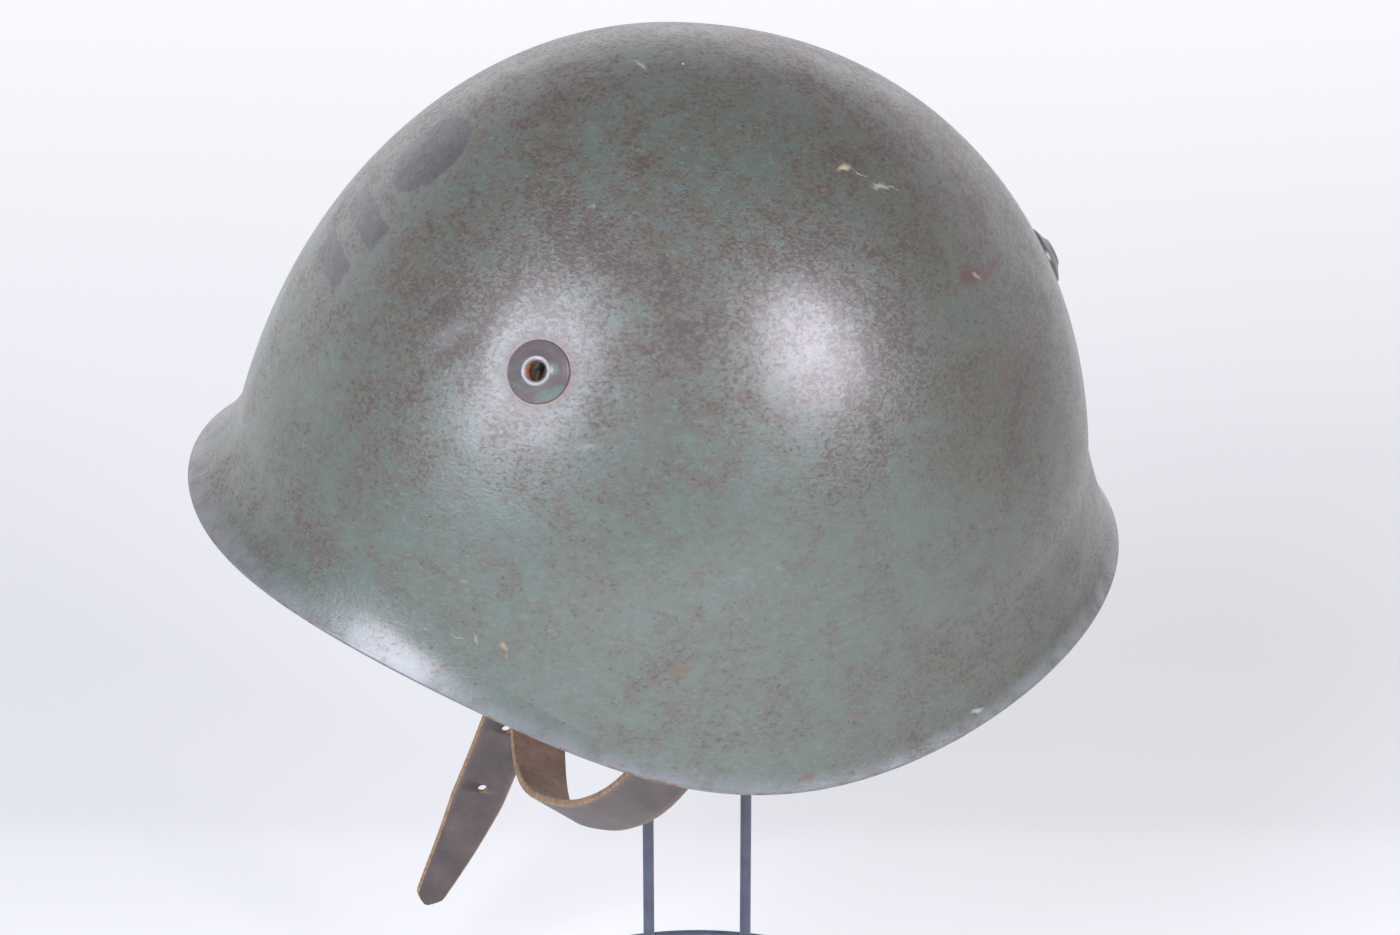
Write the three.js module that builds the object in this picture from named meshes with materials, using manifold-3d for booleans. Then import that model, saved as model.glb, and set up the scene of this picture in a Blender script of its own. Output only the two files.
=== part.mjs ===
// Military steel helmet with a leather chin strap, carried by a plain wire display stand.
// Millimetres, +Z up. The helmet faces -Y, its left side is at +X and the floor is at Z = 0.
import * as THREE from 'three';
import { mergeVertices } from 'three/addons/utils/BufferGeometryUtils.js';
import Module from 'manifold-3d';

const wasm = await Module();
wasm.setup();

// Clearance between pieces that touch on the real object
const gap = 0.3;

// Cutters that pass right through a plate, and points closer together than these are one point
const cutLength = 14;
const cutterSides = 20;
const weldReach = 1e-4;
const sameSpot = 0.01;

// Steel shell: a plan of two half ovals, a domed section and a flared, raw cut rim
const wall = 1.2;
const frontReach = 123;
const rearReach = 136.9;
const halfWidth = 115.2;
const crownHeight = 152.8;
const crownShift = -3.1;
const planPower = 2.05;
const sidePower = 2.04;
const frontPower = 2.04;
const rearPower = 2.11;

// Rim height around the shell, as a mean and four waves of the turn from the front
const rimMean = -7.8;
const rimWaves = [-0.8, 16.3, -4.5, -1.7];

// Flare of the rim: how far it leans out and how high it starts, each a mean and two waves
const flareMean = 7.5;
const flareWaves = [-0.5, 5.2];
const flareRise = 26.1;
const flareRiseWaves = [-6.7, -0.9];
const flarePower = 1.39;
const flareLimit = 1.2;

const shellColumns = 68;
const shellRows = 19;
const rowBunching = 1.35;

// Front of the helmet lifted on the stand, and height of the shell's own origin over the floor
const pitch = THREE.MathUtils.degToRad(9.2);
const carryHeight = 222.5;

// Hollow vent rivets
const sideVentTurn = THREE.MathUtils.degToRad(51.3);
const sideVentHeight = 85.7;
const rearVentHeight = 90.2;
const ventHead = 9.15;
const ventHeadRise = 2.6;
const ventHeadEdge = 0.8;
const ventEdgeIn = 0.6;
const ventEdgeUp = 0.4;
const ventLip = 4;
const ventLipRise = 0.5;
const ventLipFoot = 0.7;
const ventLipRound = 0.15;
const ventHole = 3;
const ventShank = 4.4;
const ventFlange = 6.5;
const ventFlangeThick = 0.8;
const ventFlangeRound = 0.6;
const ventSides = 20;

// Middle of the head's slope, as shares of its radius and its rise
const ventSlope = { out: 0.72, up: 0.68 };

// Points that feel how far the shell curves away under a rivet, and a turn of about a millimetre there
const seatProbes = 16;
const turnPerMm = 0.01;

// Plain steel strap hangers inside the shell
const hangerThick = 1.2;
const hangerEye = 10;
const hangerWidth = 26;
const hangerWaist = 14;
const hangerBar = 2.6;
const hangerSlotHeight = 9;
const hangerTurn = THREE.MathUtils.degToRad(92.2);
const hangerDrop = 88;
const hangerStandOff = 15.6;
const hangerSteps = 12;
const hangerEyeSides = 24;
const hangerFlangeRoom = 6;

// Share of a half wave that the plate bows sideways through, and shares of its fall where it widens
const hangerBow = 0.563;
const hangerWidens = { from: 0.55, to: 0.85 };

// Leather chin strap
const strapWidth = 18;
const strapThick = 2.3;
const strapDrop = 100;
const strapFlap = 24;
const strapTipWidth = 6.5;
const strapTaper = 42;
const tailLength = 119.5;
const tailLead = 42.5;
const tailLean = 3;

// Straight run of a strap before and after a bar, and shares of its run where two layers come together
const strapLead = 7;
const strapPinch = { from: 0.1, to: 0.35 };

// Tip of the free end: fuller than its end width, blunt by a share, and tapered by a power
const tipFullness = 1.3;
const tipBlunt = 0.04;
const taperPower = 0.8;
const holeRadius = 1.6;
const holePitch = 24;
const firstHole = 46.5;

// Route of the strap from the left hanger to the buckle. Across is a share of the hanger bars' half
// distance, fore and down are shares of the drop, and out and dip lean the strap's rear edge.
const strapRoute = [
  { across: 0.935, fore: 0.125, down: 0.25, out: 0.16, dip: 0.34 },
  { across: 0.801, fore: 0.223, down: 0.482, out: 0.27, dip: 0.58 },
  { across: 0.588, fore: 0.281, down: 0.668, out: 0.24, dip: 0.6 },
  { across: 0.337, fore: 0.315, down: 0.817, out: 0.26, dip: 0.66 },
  { across: 0.071, fore: 0.333, down: 0.941, out: 0.27, dip: 0.72 },
  { across: -0.114, fore: 0.319, down: 0.988, out: 0.23, dip: 0.6 },
  { across: -0.31, fore: 0.287, down: 0.995, out: 0.15, dip: 0.44 },
  { across: -0.499, fore: 0.245, down: 0.956, out: 0.15, dip: 0.32 },
  { across: -0.664, fore: 0.194, down: 0.863, out: 0.18, dip: 0.24 },
  { across: -0.792, fore: 0.143, down: 0.725, out: 0.2, dip: 0.18 },
];
const strapSteps = 44;
const flapSteps = 8;
const buckleStrapSteps = 12;

// Free end past the buckle: shares of its length and of its lead towards the front
const tailRoute = [
  { along: 0.0, lead: 0.0, out: 0.1, dip: 0.2 },
  { along: 0.25, lead: 0.18, out: 0.1, dip: 0.24 },
  { along: 0.5, lead: 0.41, out: 0.1, dip: 0.37 },
  { along: 0.75, lead: 0.68, out: 0.09, dip: 0.42 },
  { along: 1.0, lead: 1.0, out: 0.09, dip: 0.48 },
];
const tailSteps = 18;
const foldSteps = 8;

// Buckle frame of steel wire
const buckleWire = 2.6;
const buckleSide = 1.2;
const buckleWindow = 14;
const buckleCorner = 2.4;
const buckleCornerSteps = 4;

// Display stand: a wire ring on the floor, a bar across it and an upright hoop
const ringRadius = 90;
const wire = 3;
const hoopWire = 3.5;
const hoopSpan = 32;
const standCentre = 20;
const ringSides = 48;
const hoopArchSteps = 14;
const wireSides = 8;

// Points down the shell's inside that the hoop's height is taken from, and how near one has to be
const innerProbes = 200;
const innerReach = 1.5;

const mean = (mid, waves, turn) =>
  waves.reduce((sum, wave, index) => sum + wave * Math.cos((index + 1) * turn), mid);
const rimHeight = (turn) => mean(rimMean, rimWaves, turn);

// Outer surface of the shell at a turn from the front towards its left side, and a height
function shellPoint(turn, height) {
  const ahead = Math.cos(turn);
  const aside = Math.sin(turn);
  const endPower = ahead > 0 ? frontPower : rearPower;
  const power = sidePower + (endPower - sidePower) * ahead * ahead;
  const rise = THREE.MathUtils.clamp(height / crownHeight, 0, 1);
  const section = Math.max(1 - rise ** power, 0) ** (1 / power);
  const reach = ahead > 0 ? frontReach : rearReach;
  const plan = (Math.abs(ahead / reach) ** planPower
    + Math.abs(aside / halfWidth) ** planPower) ** (-1 / planPower);
  const flareHeight = mean(flareRise, flareRiseWaves, turn);
  const flareShare = (rimHeight(turn) + flareHeight - height) / flareHeight;
  const flare = mean(flareMean, flareWaves, turn)
    * THREE.MathUtils.clamp(flareShare, 0, flareLimit) ** flarePower;
  const radius = plan * section + flare;
  return new THREE.Vector3(radius * aside, -radius * ahead - crownShift * rise, height);
}

// Outward normal of the shell, from two short steps over its surface
function shellNormal(turn, height) {
  const turnStep = 0.01;
  const heightStep = 0.5;
  const high = Math.min(height + heightStep, crownHeight);
  const alongTurn = shellPoint(turn + turnStep, height).sub(shellPoint(turn - turnStep, height));
  const alongRise = shellPoint(turn, high).sub(shellPoint(turn, height - heightStep));
  return alongTurn.cross(alongRise).normalize();
}

const inShell = (turn, height, depth) =>
  shellPoint(turn, height).addScaledVector(shellNormal(turn, height), -depth);

function closedGeometry(points, faces) {
  const geometry = new THREE.BufferGeometry();
  const places = points.flatMap((point) => point.toArray());
  geometry.setAttribute('position', new THREE.Float32BufferAttribute(places, 3));
  geometry.setIndex(faces.flat());
  return geometry;
}

function quad(faces, a, b, c, d) {
  faces.push([a, b, c], [a, c, d]);
}

// Shell skin: rows of points from the rim to the crown, outside and inside, joined at the cut edge
function shellBody() {
  const points = [];
  const faces = [];
  const skins = [0, wall].map((depth) => {
    const rows = [];
    for (let row = 0; row < shellRows; row += 1) {
      const climb = Math.sin(((row / shellRows) ** rowBunching * Math.PI) / 2);
      const ring = [];
      for (let column = 0; column < shellColumns; column += 1) {
        const turn = (column / shellColumns) * 2 * Math.PI;
        const foot = rimHeight(turn);
        ring.push(points.length);
        points.push(inShell(turn, foot + (crownHeight - foot) * climb, depth));
      }
      rows.push(ring);
    }
    points.push(new THREE.Vector3(0, -crownShift, crownHeight - depth));
    return { rows, pole: points.length - 1 };
  });
  const [outer, inner] = skins;
  for (let column = 0; column < shellColumns; column += 1) {
    const next = (column + 1) % shellColumns;
    for (let row = 0; row + 1 < shellRows; row += 1) {
      const [low, high] = [outer.rows[row], outer.rows[row + 1]];
      quad(faces, low[column], low[next], high[next], high[column]);
      const [inLow, inHigh] = [inner.rows[row], inner.rows[row + 1]];
      quad(faces, inLow[next], inLow[column], inHigh[column], inHigh[next]);
    }
    const top = outer.rows[shellRows - 1];
    faces.push([top[column], top[next], outer.pole]);
    const inTop = inner.rows[shellRows - 1];
    faces.push([inTop[next], inTop[column], inner.pole]);
    quad(faces, outer.rows[0][next], outer.rows[0][column], inner.rows[0][column], inner.rows[0][next]);
  }
  return closedGeometry(points, faces);
}

// Sweep of a section along stations. Each station has a place, a direction across and its own section,
// a list of [across, through] offsets that turns the same way as in the other stations.
function sweep(stations, closed = false) {
  const points = [];
  const faces = [];
  const count = stations.length;
  const sides = stations[0].section.length;
  stations.forEach((station, index) => {
    const before = stations[closed ? (index + count - 1) % count : Math.max(index - 1, 0)].at;
    const after = stations[closed ? (index + 1) % count : Math.min(index + 1, count - 1)].at;
    const along = after.clone().sub(before).normalize();
    const across = station.across.clone()
      .addScaledVector(along, -station.across.dot(along)).normalize();
    const through = new THREE.Vector3().crossVectors(along, across);
    for (const [side, depth] of station.section) {
      points.push(station.at.clone().addScaledVector(across, side).addScaledVector(through, depth));
    }
  });
  for (let index = 0; index < (closed ? count : count - 1); index += 1) {
    const here = index * sides;
    const there = ((index + 1) % count) * sides;
    for (let side = 0; side < sides; side += 1) {
      const next = (side + 1) % sides;
      quad(faces, here + side, here + next, there + next, there + side);
    }
  }
  if (!closed) {
    const last = (count - 1) * sides;
    for (let side = 1; side + 1 < sides; side += 1) {
      faces.push([0, side + 1, side], [last, last + side, last + side + 1]);
    }
  }
  return closedGeometry(points, faces);
}

const flatSection = (width, thick) => [
  [-width / 2, -thick / 2], [width / 2, -thick / 2], [width / 2, thick / 2], [-width / 2, thick / 2],
];

// Radius to the corners of a wire whose flats are a diameter apart
const wireCorner = (diameter) => diameter / 2 / Math.cos(Math.PI / wireSides);

function roundSection(diameter) {
  return Array.from({ length: wireSides }, (_, side) => {
    const angle = ((side + 0.5) / wireSides) * 2 * Math.PI;
    return [wireCorner(diameter) * Math.cos(angle), wireCorner(diameter) * Math.sin(angle)];
  });
}

// Solids for cutting and joining
function solidOf(geometry) {
  const bare = geometry.clone();
  bare.deleteAttribute('normal');
  bare.deleteAttribute('uv');
  const merged = mergeVertices(bare, weldReach);
  return new wasm.Manifold(new wasm.Mesh({
    numProp: 3,
    vertProperties: Float32Array.from(merged.attributes.position.array),
    triVerts: Uint32Array.from(merged.index.array),
  }));
}

function geometryOf(solid) {
  const mesh = solid.getMesh();
  const places = Float32Array.from(mesh.vertProperties);
  const geometry = new THREE.BufferGeometry();
  geometry.setAttribute('position', new THREE.BufferAttribute(places, 3));
  geometry.setIndex(new THREE.BufferAttribute(Uint32Array.from(mesh.triVerts), 1));
  return geometry;
}

// A plain round cutter along the Z axis of a place
function cutter(place, radius, length = cutLength) {
  const geometry = new THREE.CylinderGeometry(radius, radius, length, cutterSides);
  geometry.rotateX(Math.PI / 2);
  geometry.applyMatrix4(place);
  return solidOf(geometry);
}

const finish = (color, roughness, metalness) => (
  new THREE.MeshStandardMaterial({ color, roughness, metalness }));
const shellPaint = finish('#66716a', 0.45, 0.0);
const ventPaint = finish('#6d6a66', 0.45, 0.2);
const bareSteel = finish('#7d7f80', 0.4, 0.9);
const leather = finish('#5f5450', 0.7, 0.0);
const standPaint = finish('#3c434e', 0.5, 0.3);

function meshOf(name, geometry, material) {
  const mesh = new THREE.Mesh(geometry, material);
  mesh.name = name;
  return mesh;
}

// The three vents, each with the frame of its place: Z out of the shell
const vents = [
  { name: 'vent_rivet_left', turn: sideVentTurn, height: sideVentHeight, hanger: true },
  { name: 'vent_rivet_right', turn: -sideVentTurn, height: sideVentHeight, hanger: true },
  { name: 'vent_rivet_rear', turn: Math.PI, height: rearVentHeight, hanger: false },
];

function ventPlace({ turn, height }) {
  const out = shellNormal(turn, height);
  const level = new THREE.Vector3(Math.cos(turn), Math.sin(turn), 0);
  level.addScaledVector(out, -level.dot(out)).normalize();
  const up = new THREE.Vector3().crossVectors(out, level);
  return new THREE.Matrix4().makeBasis(level, up, out).setPosition(shellPoint(turn, height));
}

// How far the shell falls away from a vent's flat seat at a radius, where it falls least and most
function seatFall(vent, radius) {
  const toSeat = ventPlace(vent).invert();
  const centre = shellPoint(vent.turn, vent.height);
  const falls = Array.from({ length: seatProbes }, (_, probe) => {
    const angle = (probe / seatProbes) * 2 * Math.PI;
    const beside = (reach) => shellPoint(
      vent.turn + Math.cos(angle) * turnPerMm * reach, vent.height + Math.sin(angle) * reach);
    const reach = radius / beside(1).distanceTo(centre);
    return -beside(reach).applyMatrix4(toSeat).z;
  });
  return { least: Math.min(...falls), most: Math.max(...falls) };
}

const seatDepth = (vent, radius) => wall + seatFall(vent, radius).most + gap;

// Vent rivet: a shallow head with a rolled lip, a hollow shank and a flange clamped inside
function ventBody(vent) {
  const edgeSeat = gap - seatFall(vent, ventHead).least;
  const flangeTop = vent.hanger
    ? -(seatDepth(vent, hangerEye) + hangerThick + gap)
    : -seatDepth(vent, ventFlange);
  const flangeFoot = flangeTop - ventFlangeThick;
  const edgeTop = edgeSeat + ventHeadEdge;
  const lipTop = ventHeadRise + ventLipRise;
  const profile = [
    [ventShank, gap],
    [ventHead, edgeSeat],
    [ventHead, edgeTop],
    [ventHead - ventEdgeIn, edgeTop + ventEdgeUp],
    [ventHead * ventSlope.out, ventHeadRise * ventSlope.up],
    [ventLip + ventLipFoot, ventHeadRise],
    [ventLip, lipTop],
    [(ventLip + ventHole) / 2, lipTop + ventLipRound],
    [ventHole, lipTop - ventLipRound],
    [ventHole, flangeFoot + ventFlangeRound],
    [ventHole + ventFlangeRound, flangeFoot],
    [ventFlange, flangeFoot],
    [ventFlange, flangeTop],
    [ventShank, flangeTop],
    [ventShank, gap],
  ];
  const outline = profile.map(([radius, height]) => new THREE.Vector2(radius, height));
  const geometry = new THREE.LatheGeometry(outline, ventSides);
  geometry.rotateX(Math.PI / 2);
  const mesh = meshOf(vent.name, geometry, ventPaint);
  mesh.applyMatrix4(ventPlace(vent));
  return mesh;
}

function shellNode() {
  let solid = solidOf(shellBody());
  for (const vent of vents) {
    solid = solid.subtract(cutter(ventPlace(vent), ventShank + gap));
  }
  return meshOf('steel_shell', geometryOf(solid), shellPaint);
}

// Hanger: a stamped plate that runs from a side vent down the wall to a slot for the strap
function hangerPoint(side, share) {
  const vent = vents[side > 0 ? 0 : 1];
  const ease = Math.sin(share * hangerBow * Math.PI) / Math.sin(hangerBow * Math.PI);
  const turn = side * THREE.MathUtils.lerp(sideVentTurn, hangerTurn, ease);
  const height = sideVentHeight - hangerDrop * share;
  const seat = seatDepth(vent, hangerEye) + hangerThick / 2;
  return inShell(turn, height, THREE.MathUtils.lerp(seat, hangerStandOff, share ** 2));
}

function hangerPlace(side, share) {
  const step = 0.02;
  const start = Math.min(share, 1 - step);
  const at = hangerPoint(side, share);
  const along = hangerPoint(side, start + step).sub(hangerPoint(side, start)).normalize();
  const out = new THREE.Vector3(side, 0, 0).addScaledVector(along, -side * along.x).normalize();
  const across = new THREE.Vector3().crossVectors(along, out).multiplyScalar(-side);
  return { at, along, out, across };
}

function hangerNode(side) {
  const eye = ventPlace(vents[side > 0 ? 0 : 1]);
  const eyeSeat = seatDepth(vents[0], hangerEye) + hangerThick / 2;
  const eyePlace = eye.clone().multiply(new THREE.Matrix4().makeTranslation(0, 0, -eyeSeat));
  const out = shellNormal(side * sideVentTurn, sideVentHeight);
  const stations = [];
  for (let step = 1; step <= hangerSteps; step += 1) {
    const share = step / hangerSteps;
    const place = hangerPlace(side, share);
    const facing = out.clone().lerp(place.out, share);
    const across = new THREE.Vector3().crossVectors(place.along, facing);
    const widened = THREE.MathUtils.smoothstep(share, hangerWidens.from, hangerWidens.to);
    const width = THREE.MathUtils.lerp(hangerWaist, hangerWidth, widened);
    stations.push({ at: place.at, across: across.normalize(), section: flatSection(width, hangerThick) });
  }
  const top = new THREE.Vector3().setFromMatrixPosition(eyePlace);
  const first = stations[0];
  stations.unshift({ at: top, across: first.across, section: flatSection(hangerWaist, hangerThick) });
  const disc = new THREE.CylinderGeometry(hangerEye, hangerEye, hangerThick, hangerEyeSides);
  disc.rotateX(Math.PI / 2);
  disc.applyMatrix4(eyePlace);
  const end = hangerPlace(side, 1);
  const slotCentre = end.at.clone().addScaledVector(end.along, -hangerBar - hangerSlotHeight / 2);
  const slot = new THREE.BoxGeometry(strapWidth + 2 * buckleSide, hangerSlotHeight, cutLength);
  slot.applyMatrix4(new THREE.Matrix4().makeBasis(end.across, end.along,
    new THREE.Vector3().crossVectors(end.across, end.along)).setPosition(slotCentre));
  const underEye = eyePlace.clone().multiply(
    new THREE.Matrix4().makeTranslation(0, 0, -(hangerThick + hangerFlangeRoom) / 2));
  const solid = solidOf(sweep(stations)).add(solidOf(disc))
    .subtract(solidOf(slot))
    .subtract(cutter(underEye, ventFlange + gap, hangerFlangeRoom))
    .subtract(cutter(eyePlace, ventShank + gap));
  return meshOf(side > 0 ? 'strap_hanger_left' : 'strap_hanger_right', geometryOf(solid), bareSteel);
}

const helmet = new THREE.Group();
helmet.rotation.x = -pitch;
helmet.position.z = carryHeight;
helmet.updateMatrixWorld();
helmet.add(shellNode());
for (const vent of vents) {
  helmet.add(ventBody(vent));
}
for (const side of [1, -1]) {
  helmet.add(hangerNode(side));
}

// The bar at the foot of each hanger, in the frame of the whole object
function hangerBarPlace(side) {
  const place = hangerPlace(side, 1);
  const turned = (vector) => vector.clone().transformDirection(helmet.matrixWorld);
  const at = place.at.clone().addScaledVector(place.along, -hangerBar / 2);
  at.applyMatrix4(helmet.matrixWorld);
  return { at, along: turned(place.along), out: turned(place.out), across: turned(place.across) };
}

const leftBar = hangerBarPlace(1);
const rightBar = hangerBarPlace(-1);

// Strap that folds over a bar: the middle of its thickness lies on these radii
const foldOnHanger = Math.hypot(hangerBar, hangerThick) / 2 + gap + strapThick / 2;
const foldOnBuckle = wireCorner(buckleWire) + gap + strapThick / 2;

// Makes a station's across direction square to its route and adds the strap's grain direction
function squareUp(station) {
  const across = station.across.clone()
    .addScaledVector(station.along, -station.across.dot(station.along)).normalize();
  const grain = new THREE.Vector3().crossVectors(station.along, across).normalize();
  return { ...station, across, grain };
}

// Stations of a strap's middle line along points, its rear edge leaning as the leans say
function strapStations(points, leans, steps) {
  const route = new THREE.CatmullRomCurve3(points, false, 'centripetal');
  const lean = new THREE.CatmullRomCurve3(leans, false, 'centripetal');
  return Array.from({ length: steps + 1 }, (_, step) => squareUp({
    at: route.getPoint(step / steps),
    along: route.getTangent(step / steps),
    across: lean.getPoint(step / steps),
  }));
}

// The strap leaves the left hanger square to its bar and ends beside the buckle's lower bar
function strapLine() {
  const start = leftBar.at.clone().addScaledVector(leftBar.out, -foldOnHanger);
  const points = [start, start.clone().addScaledVector(leftBar.along, strapLead)];
  const leans = [leftBar.across, leftBar.across];
  for (const row of strapRoute) {
    points.push(new THREE.Vector3(
      row.across * start.x, start.y - row.fore * strapDrop, start.z - row.down * strapDrop));
    leans.push(new THREE.Vector3(row.out, 1, -row.dip));
  }
  return strapStations(points, leans, strapSteps);
}

// Half turn of the strap over a bar, from the station before it, on the strap's grain side
function foldOver(station, radius, steps) {
  const centre = station.at.clone().addScaledVector(station.grain, radius);
  const turns = [];
  for (let step = 1; step <= steps; step += 1) {
    const angle = (step / steps) * Math.PI;
    const at = centre.clone()
      .addScaledVector(station.grain, -radius * Math.cos(angle))
      .addScaledVector(station.along, radius * Math.sin(angle));
    turns.push({ at, across: station.across });
  }
  return { centre, turns };
}

const line = strapLine();
const buckleEnd = line[line.length - 1];
const buckleFold = foldOver(buckleEnd, foldOnBuckle, foldSteps);

// Free end: it leaves the buckle fold downwards and leads forwards to its tip
function tailLine() {
  const start = buckleFold.turns[foldSteps - 1].at;
  const fall = Math.sqrt(tailLength ** 2 - tailLead ** 2);
  const drop = buckleEnd.along.z > 0 ? -fall : fall;
  const outward = Math.sign(start.x);
  const route = tailRoute.map((row) => new THREE.Vector3(
    start.x + outward * tailLean * row.along, start.y - tailLead * row.lead, start.z + drop * row.along));
  const leans = tailRoute.map((row) => new THREE.Vector3(row.out, 1, -row.dip));
  const stations = strapStations(route, leans, tailSteps).slice(1);
  return stations.map((station, index) => (
    { ...station, left: tailLength * (1 - (index + 1) / tailSteps) }));
}

// Width of the free end at a distance from its tip
function tailWidth(left) {
  const taper = THREE.MathUtils.clamp(left / strapTaper, 0, 1);
  const rounding = Math.sqrt(THREE.MathUtils.clamp(left / (strapTipWidth / 2), tipBlunt, 1));
  return THREE.MathUtils.lerp(strapTipWidth * tipFullness, strapWidth, taper ** taperPower) * rounding;
}

const tail = tailLine();

function strapNode() {
  const first = line[0];
  const section = flatSection(strapWidth, strapThick);
  const backwards = { ...first, along: first.along.clone().negate() };
  const hangerFold = foldOver(backwards, foldOnHanger, foldSteps);
  const flap = line.slice(1, flapSteps)
    .filter((station) => station.at.distanceTo(first.at) < strapFlap)
    .map((station, index, rows) => {
      const share = (index + 1) / rows.length;
      const closing = THREE.MathUtils.lerp(2 * foldOnHanger, strapThick + 2 * gap, share);
      return { ...station, at: station.at.clone().addScaledVector(station.grain, closing) };
    });
  const stations = [
    ...flap.reverse(),
    ...hangerFold.turns.reverse(),
    ...line,
    ...buckleFold.turns,
  ].map((station) => ({ ...station, section }));
  const freeEnd = tail.map((station) => (
    { ...station, section: flatSection(tailWidth(station.left), strapThick) }));
  let solid = solidOf(sweep([...stations, ...freeEnd]));
  for (const left of [firstHole, firstHole + holePitch]) {
    const spot = tail.reduce((best, station) => (
      Math.abs(station.left - left) < Math.abs(best.left - left) ? station : best));
    const place = new THREE.Matrix4().makeBasis(spot.across, spot.along,
      new THREE.Vector3().crossVectors(spot.across, spot.along)).setPosition(spot.at);
    solid = solid.subtract(cutter(place, holeRadius, 2 * strapThick));
  }
  return meshOf('chin_strap', geometryOf(solid), leather);
}

// Buckle: a closed wire frame whose lower bar lies in the strap's fold
function buckleNode() {
  const inset = strapWidth / 2 + buckleSide + buckleWire / 2 - buckleCorner;
  const top = buckleWindow + buckleWire - buckleCorner;
  const quarter = Math.PI / 2;
  const outline = new THREE.Path();
  outline.moveTo(inset, 0);
  outline.absarc(inset, buckleCorner, buckleCorner, -quarter, 0, false);
  outline.absarc(inset, top, buckleCorner, 0, quarter, false);
  outline.absarc(-inset, top, buckleCorner, quarter, 2 * quarter, false);
  outline.absarc(-inset, buckleCorner, buckleCorner, 2 * quarter, 3 * quarter, false);
  outline.closePath();
  const corners = mergedPoints(outline.getPoints(buckleCornerSteps));
  const { across, along, grain } = buckleEnd;
  const stations = corners.map((corner) => ({
    at: buckleFold.centre.clone().addScaledVector(across, corner.x).addScaledVector(along, corner.y),
    across: grain,
    section: roundSection(buckleWire),
  }));
  return meshOf('strap_buckle', sweep(stations, true), bareSteel);
}

function mergedPoints(points) {
  return points.filter((point, index) => {
    const before = points[(index + points.length - 1) % points.length];
    return point.distanceTo(before) > sameSpot;
  });
}

// Short doubled strap between the buckle's upper bar and the right hanger
function buckleStrapNode() {
  const { across, along } = buckleEnd;
  const lowBar = buckleFold.centre.clone().addScaledVector(along, buckleWindow + buckleWire);
  const points = [
    lowBar,
    lowBar.clone().addScaledVector(along, strapLead),
    rightBar.at.clone().addScaledVector(rightBar.along, strapLead),
    rightBar.at,
  ];
  const leans = [across, across, rightBar.across, rightBar.across];
  const middle = strapStations(points, leans, buckleStrapSteps);
  const layer = (side) => middle.map((station, index) => {
    const share = index / (middle.length - 1);
    const overBars = THREE.MathUtils.lerp(foldOnBuckle, foldOnHanger, share);
    const fromBar = Math.min(share, 1 - share);
    const pinch = THREE.MathUtils.smoothstep(fromBar, strapPinch.from, strapPinch.to);
    const offset = THREE.MathUtils.lerp(overBars, strapThick / 2 + gap, pinch);
    return { ...station, at: station.at.clone().addScaledVector(station.grain, side * offset) };
  });
  const rising = layer(-1);
  const top = foldOver(rising[rising.length - 1], foldOnHanger, foldSteps).turns.slice(0, -1);
  const falling = layer(1).reverse();
  const backwards = { ...rising[0], along: rising[0].along.clone().negate() };
  const bottom = foldOver(backwards, foldOnBuckle, foldSteps);
  const stations = [...rising, ...top, ...falling, ...bottom.turns.slice(0, -1).reverse()]
    .map((station) => ({ ...station, section: flatSection(strapWidth, strapThick) }));
  return meshOf('buckle_strap', sweep(stations, true), leather);
}

// Height of the shell's inside over a point of the middle plane, in the frame of the whole object
function innerHeight(foreAft) {
  let best = 0;
  for (const turn of [0, Math.PI]) {
    for (let probe = 0; probe < innerProbes; probe += 1) {
      const height = crownHeight * Math.sin((probe / innerProbes) * Math.PI / 2);
      const point = inShell(turn, height, wall).applyMatrix4(helmet.matrixWorld);
      if (Math.abs(point.y - foreAft) < innerReach) {
        best = Math.max(best, point.z);
      }
    }
  }
  return best;
}

// Stand: ring, cross bar and hoop are welded into one piece
function standNode() {
  const half = wire / 2;
  const ringProfile = roundSection(wire).map(([x, y]) => new THREE.Vector2(ringRadius + x, half + y));
  const ring = new THREE.LatheGeometry([...ringProfile, ringProfile[0].clone()], ringSides);
  ring.rotateX(Math.PI / 2);
  ring.translate(0, standCentre, 0);
  const bar = sweep([-1, 1].map((end) => ({
    at: new THREE.Vector3(0, standCentre + end * ringRadius, half),
    across: new THREE.Vector3(1, 0, 0),
    section: roundSection(wire),
  })));
  const archRadius = hoopSpan / 2;
  let springing = Infinity;
  for (let step = 0; step <= hoopArchSteps; step += 1) {
    const angle = (step / hoopArchSteps) * Math.PI;
    const reach = archRadius + wireCorner(hoopWire);
    const room = innerHeight(standCentre + reach * Math.cos(angle)) - reach * Math.sin(angle);
    springing = Math.min(springing, room - gap);
  }
  const places = [[-archRadius, half]];
  for (let step = 0; step <= hoopArchSteps; step += 1) {
    const angle = Math.PI - (step / hoopArchSteps) * Math.PI;
    places.push([archRadius * Math.cos(angle), springing + archRadius * Math.sin(angle)]);
  }
  places.push([archRadius, half]);
  const hoop = sweep(places.map(([foreAft, height]) => ({
    at: new THREE.Vector3(0, standCentre + foreAft, height),
    across: new THREE.Vector3(1, 0, 0),
    section: roundSection(hoopWire),
  })));
  const solid = solidOf(ring).add(solidOf(bar)).add(solidOf(hoop));
  return meshOf('display_stand', geometryOf(solid), standPaint);
}

// The whole object, with the floor under the middle of its bounding box as origin
const object = new THREE.Group();
object.add(helmet, strapNode(), buckleNode(), buckleStrapNode(), standNode());
object.updateMatrixWorld(true);
const box = new THREE.Box3().setFromObject(object, true);
const middle = box.getCenter(new THREE.Vector3());
object.position.set(-middle.x, -middle.y, -box.min.z);

export default object;
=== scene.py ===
"""Looks of a military steel helmet with a leather chin strap, carried by a wire display stand.

Sizes are in millimetres until a mesh is made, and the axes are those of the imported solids: +Z up, the
helmet faces -Y and its left side is at +X.
"""
import math

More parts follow.
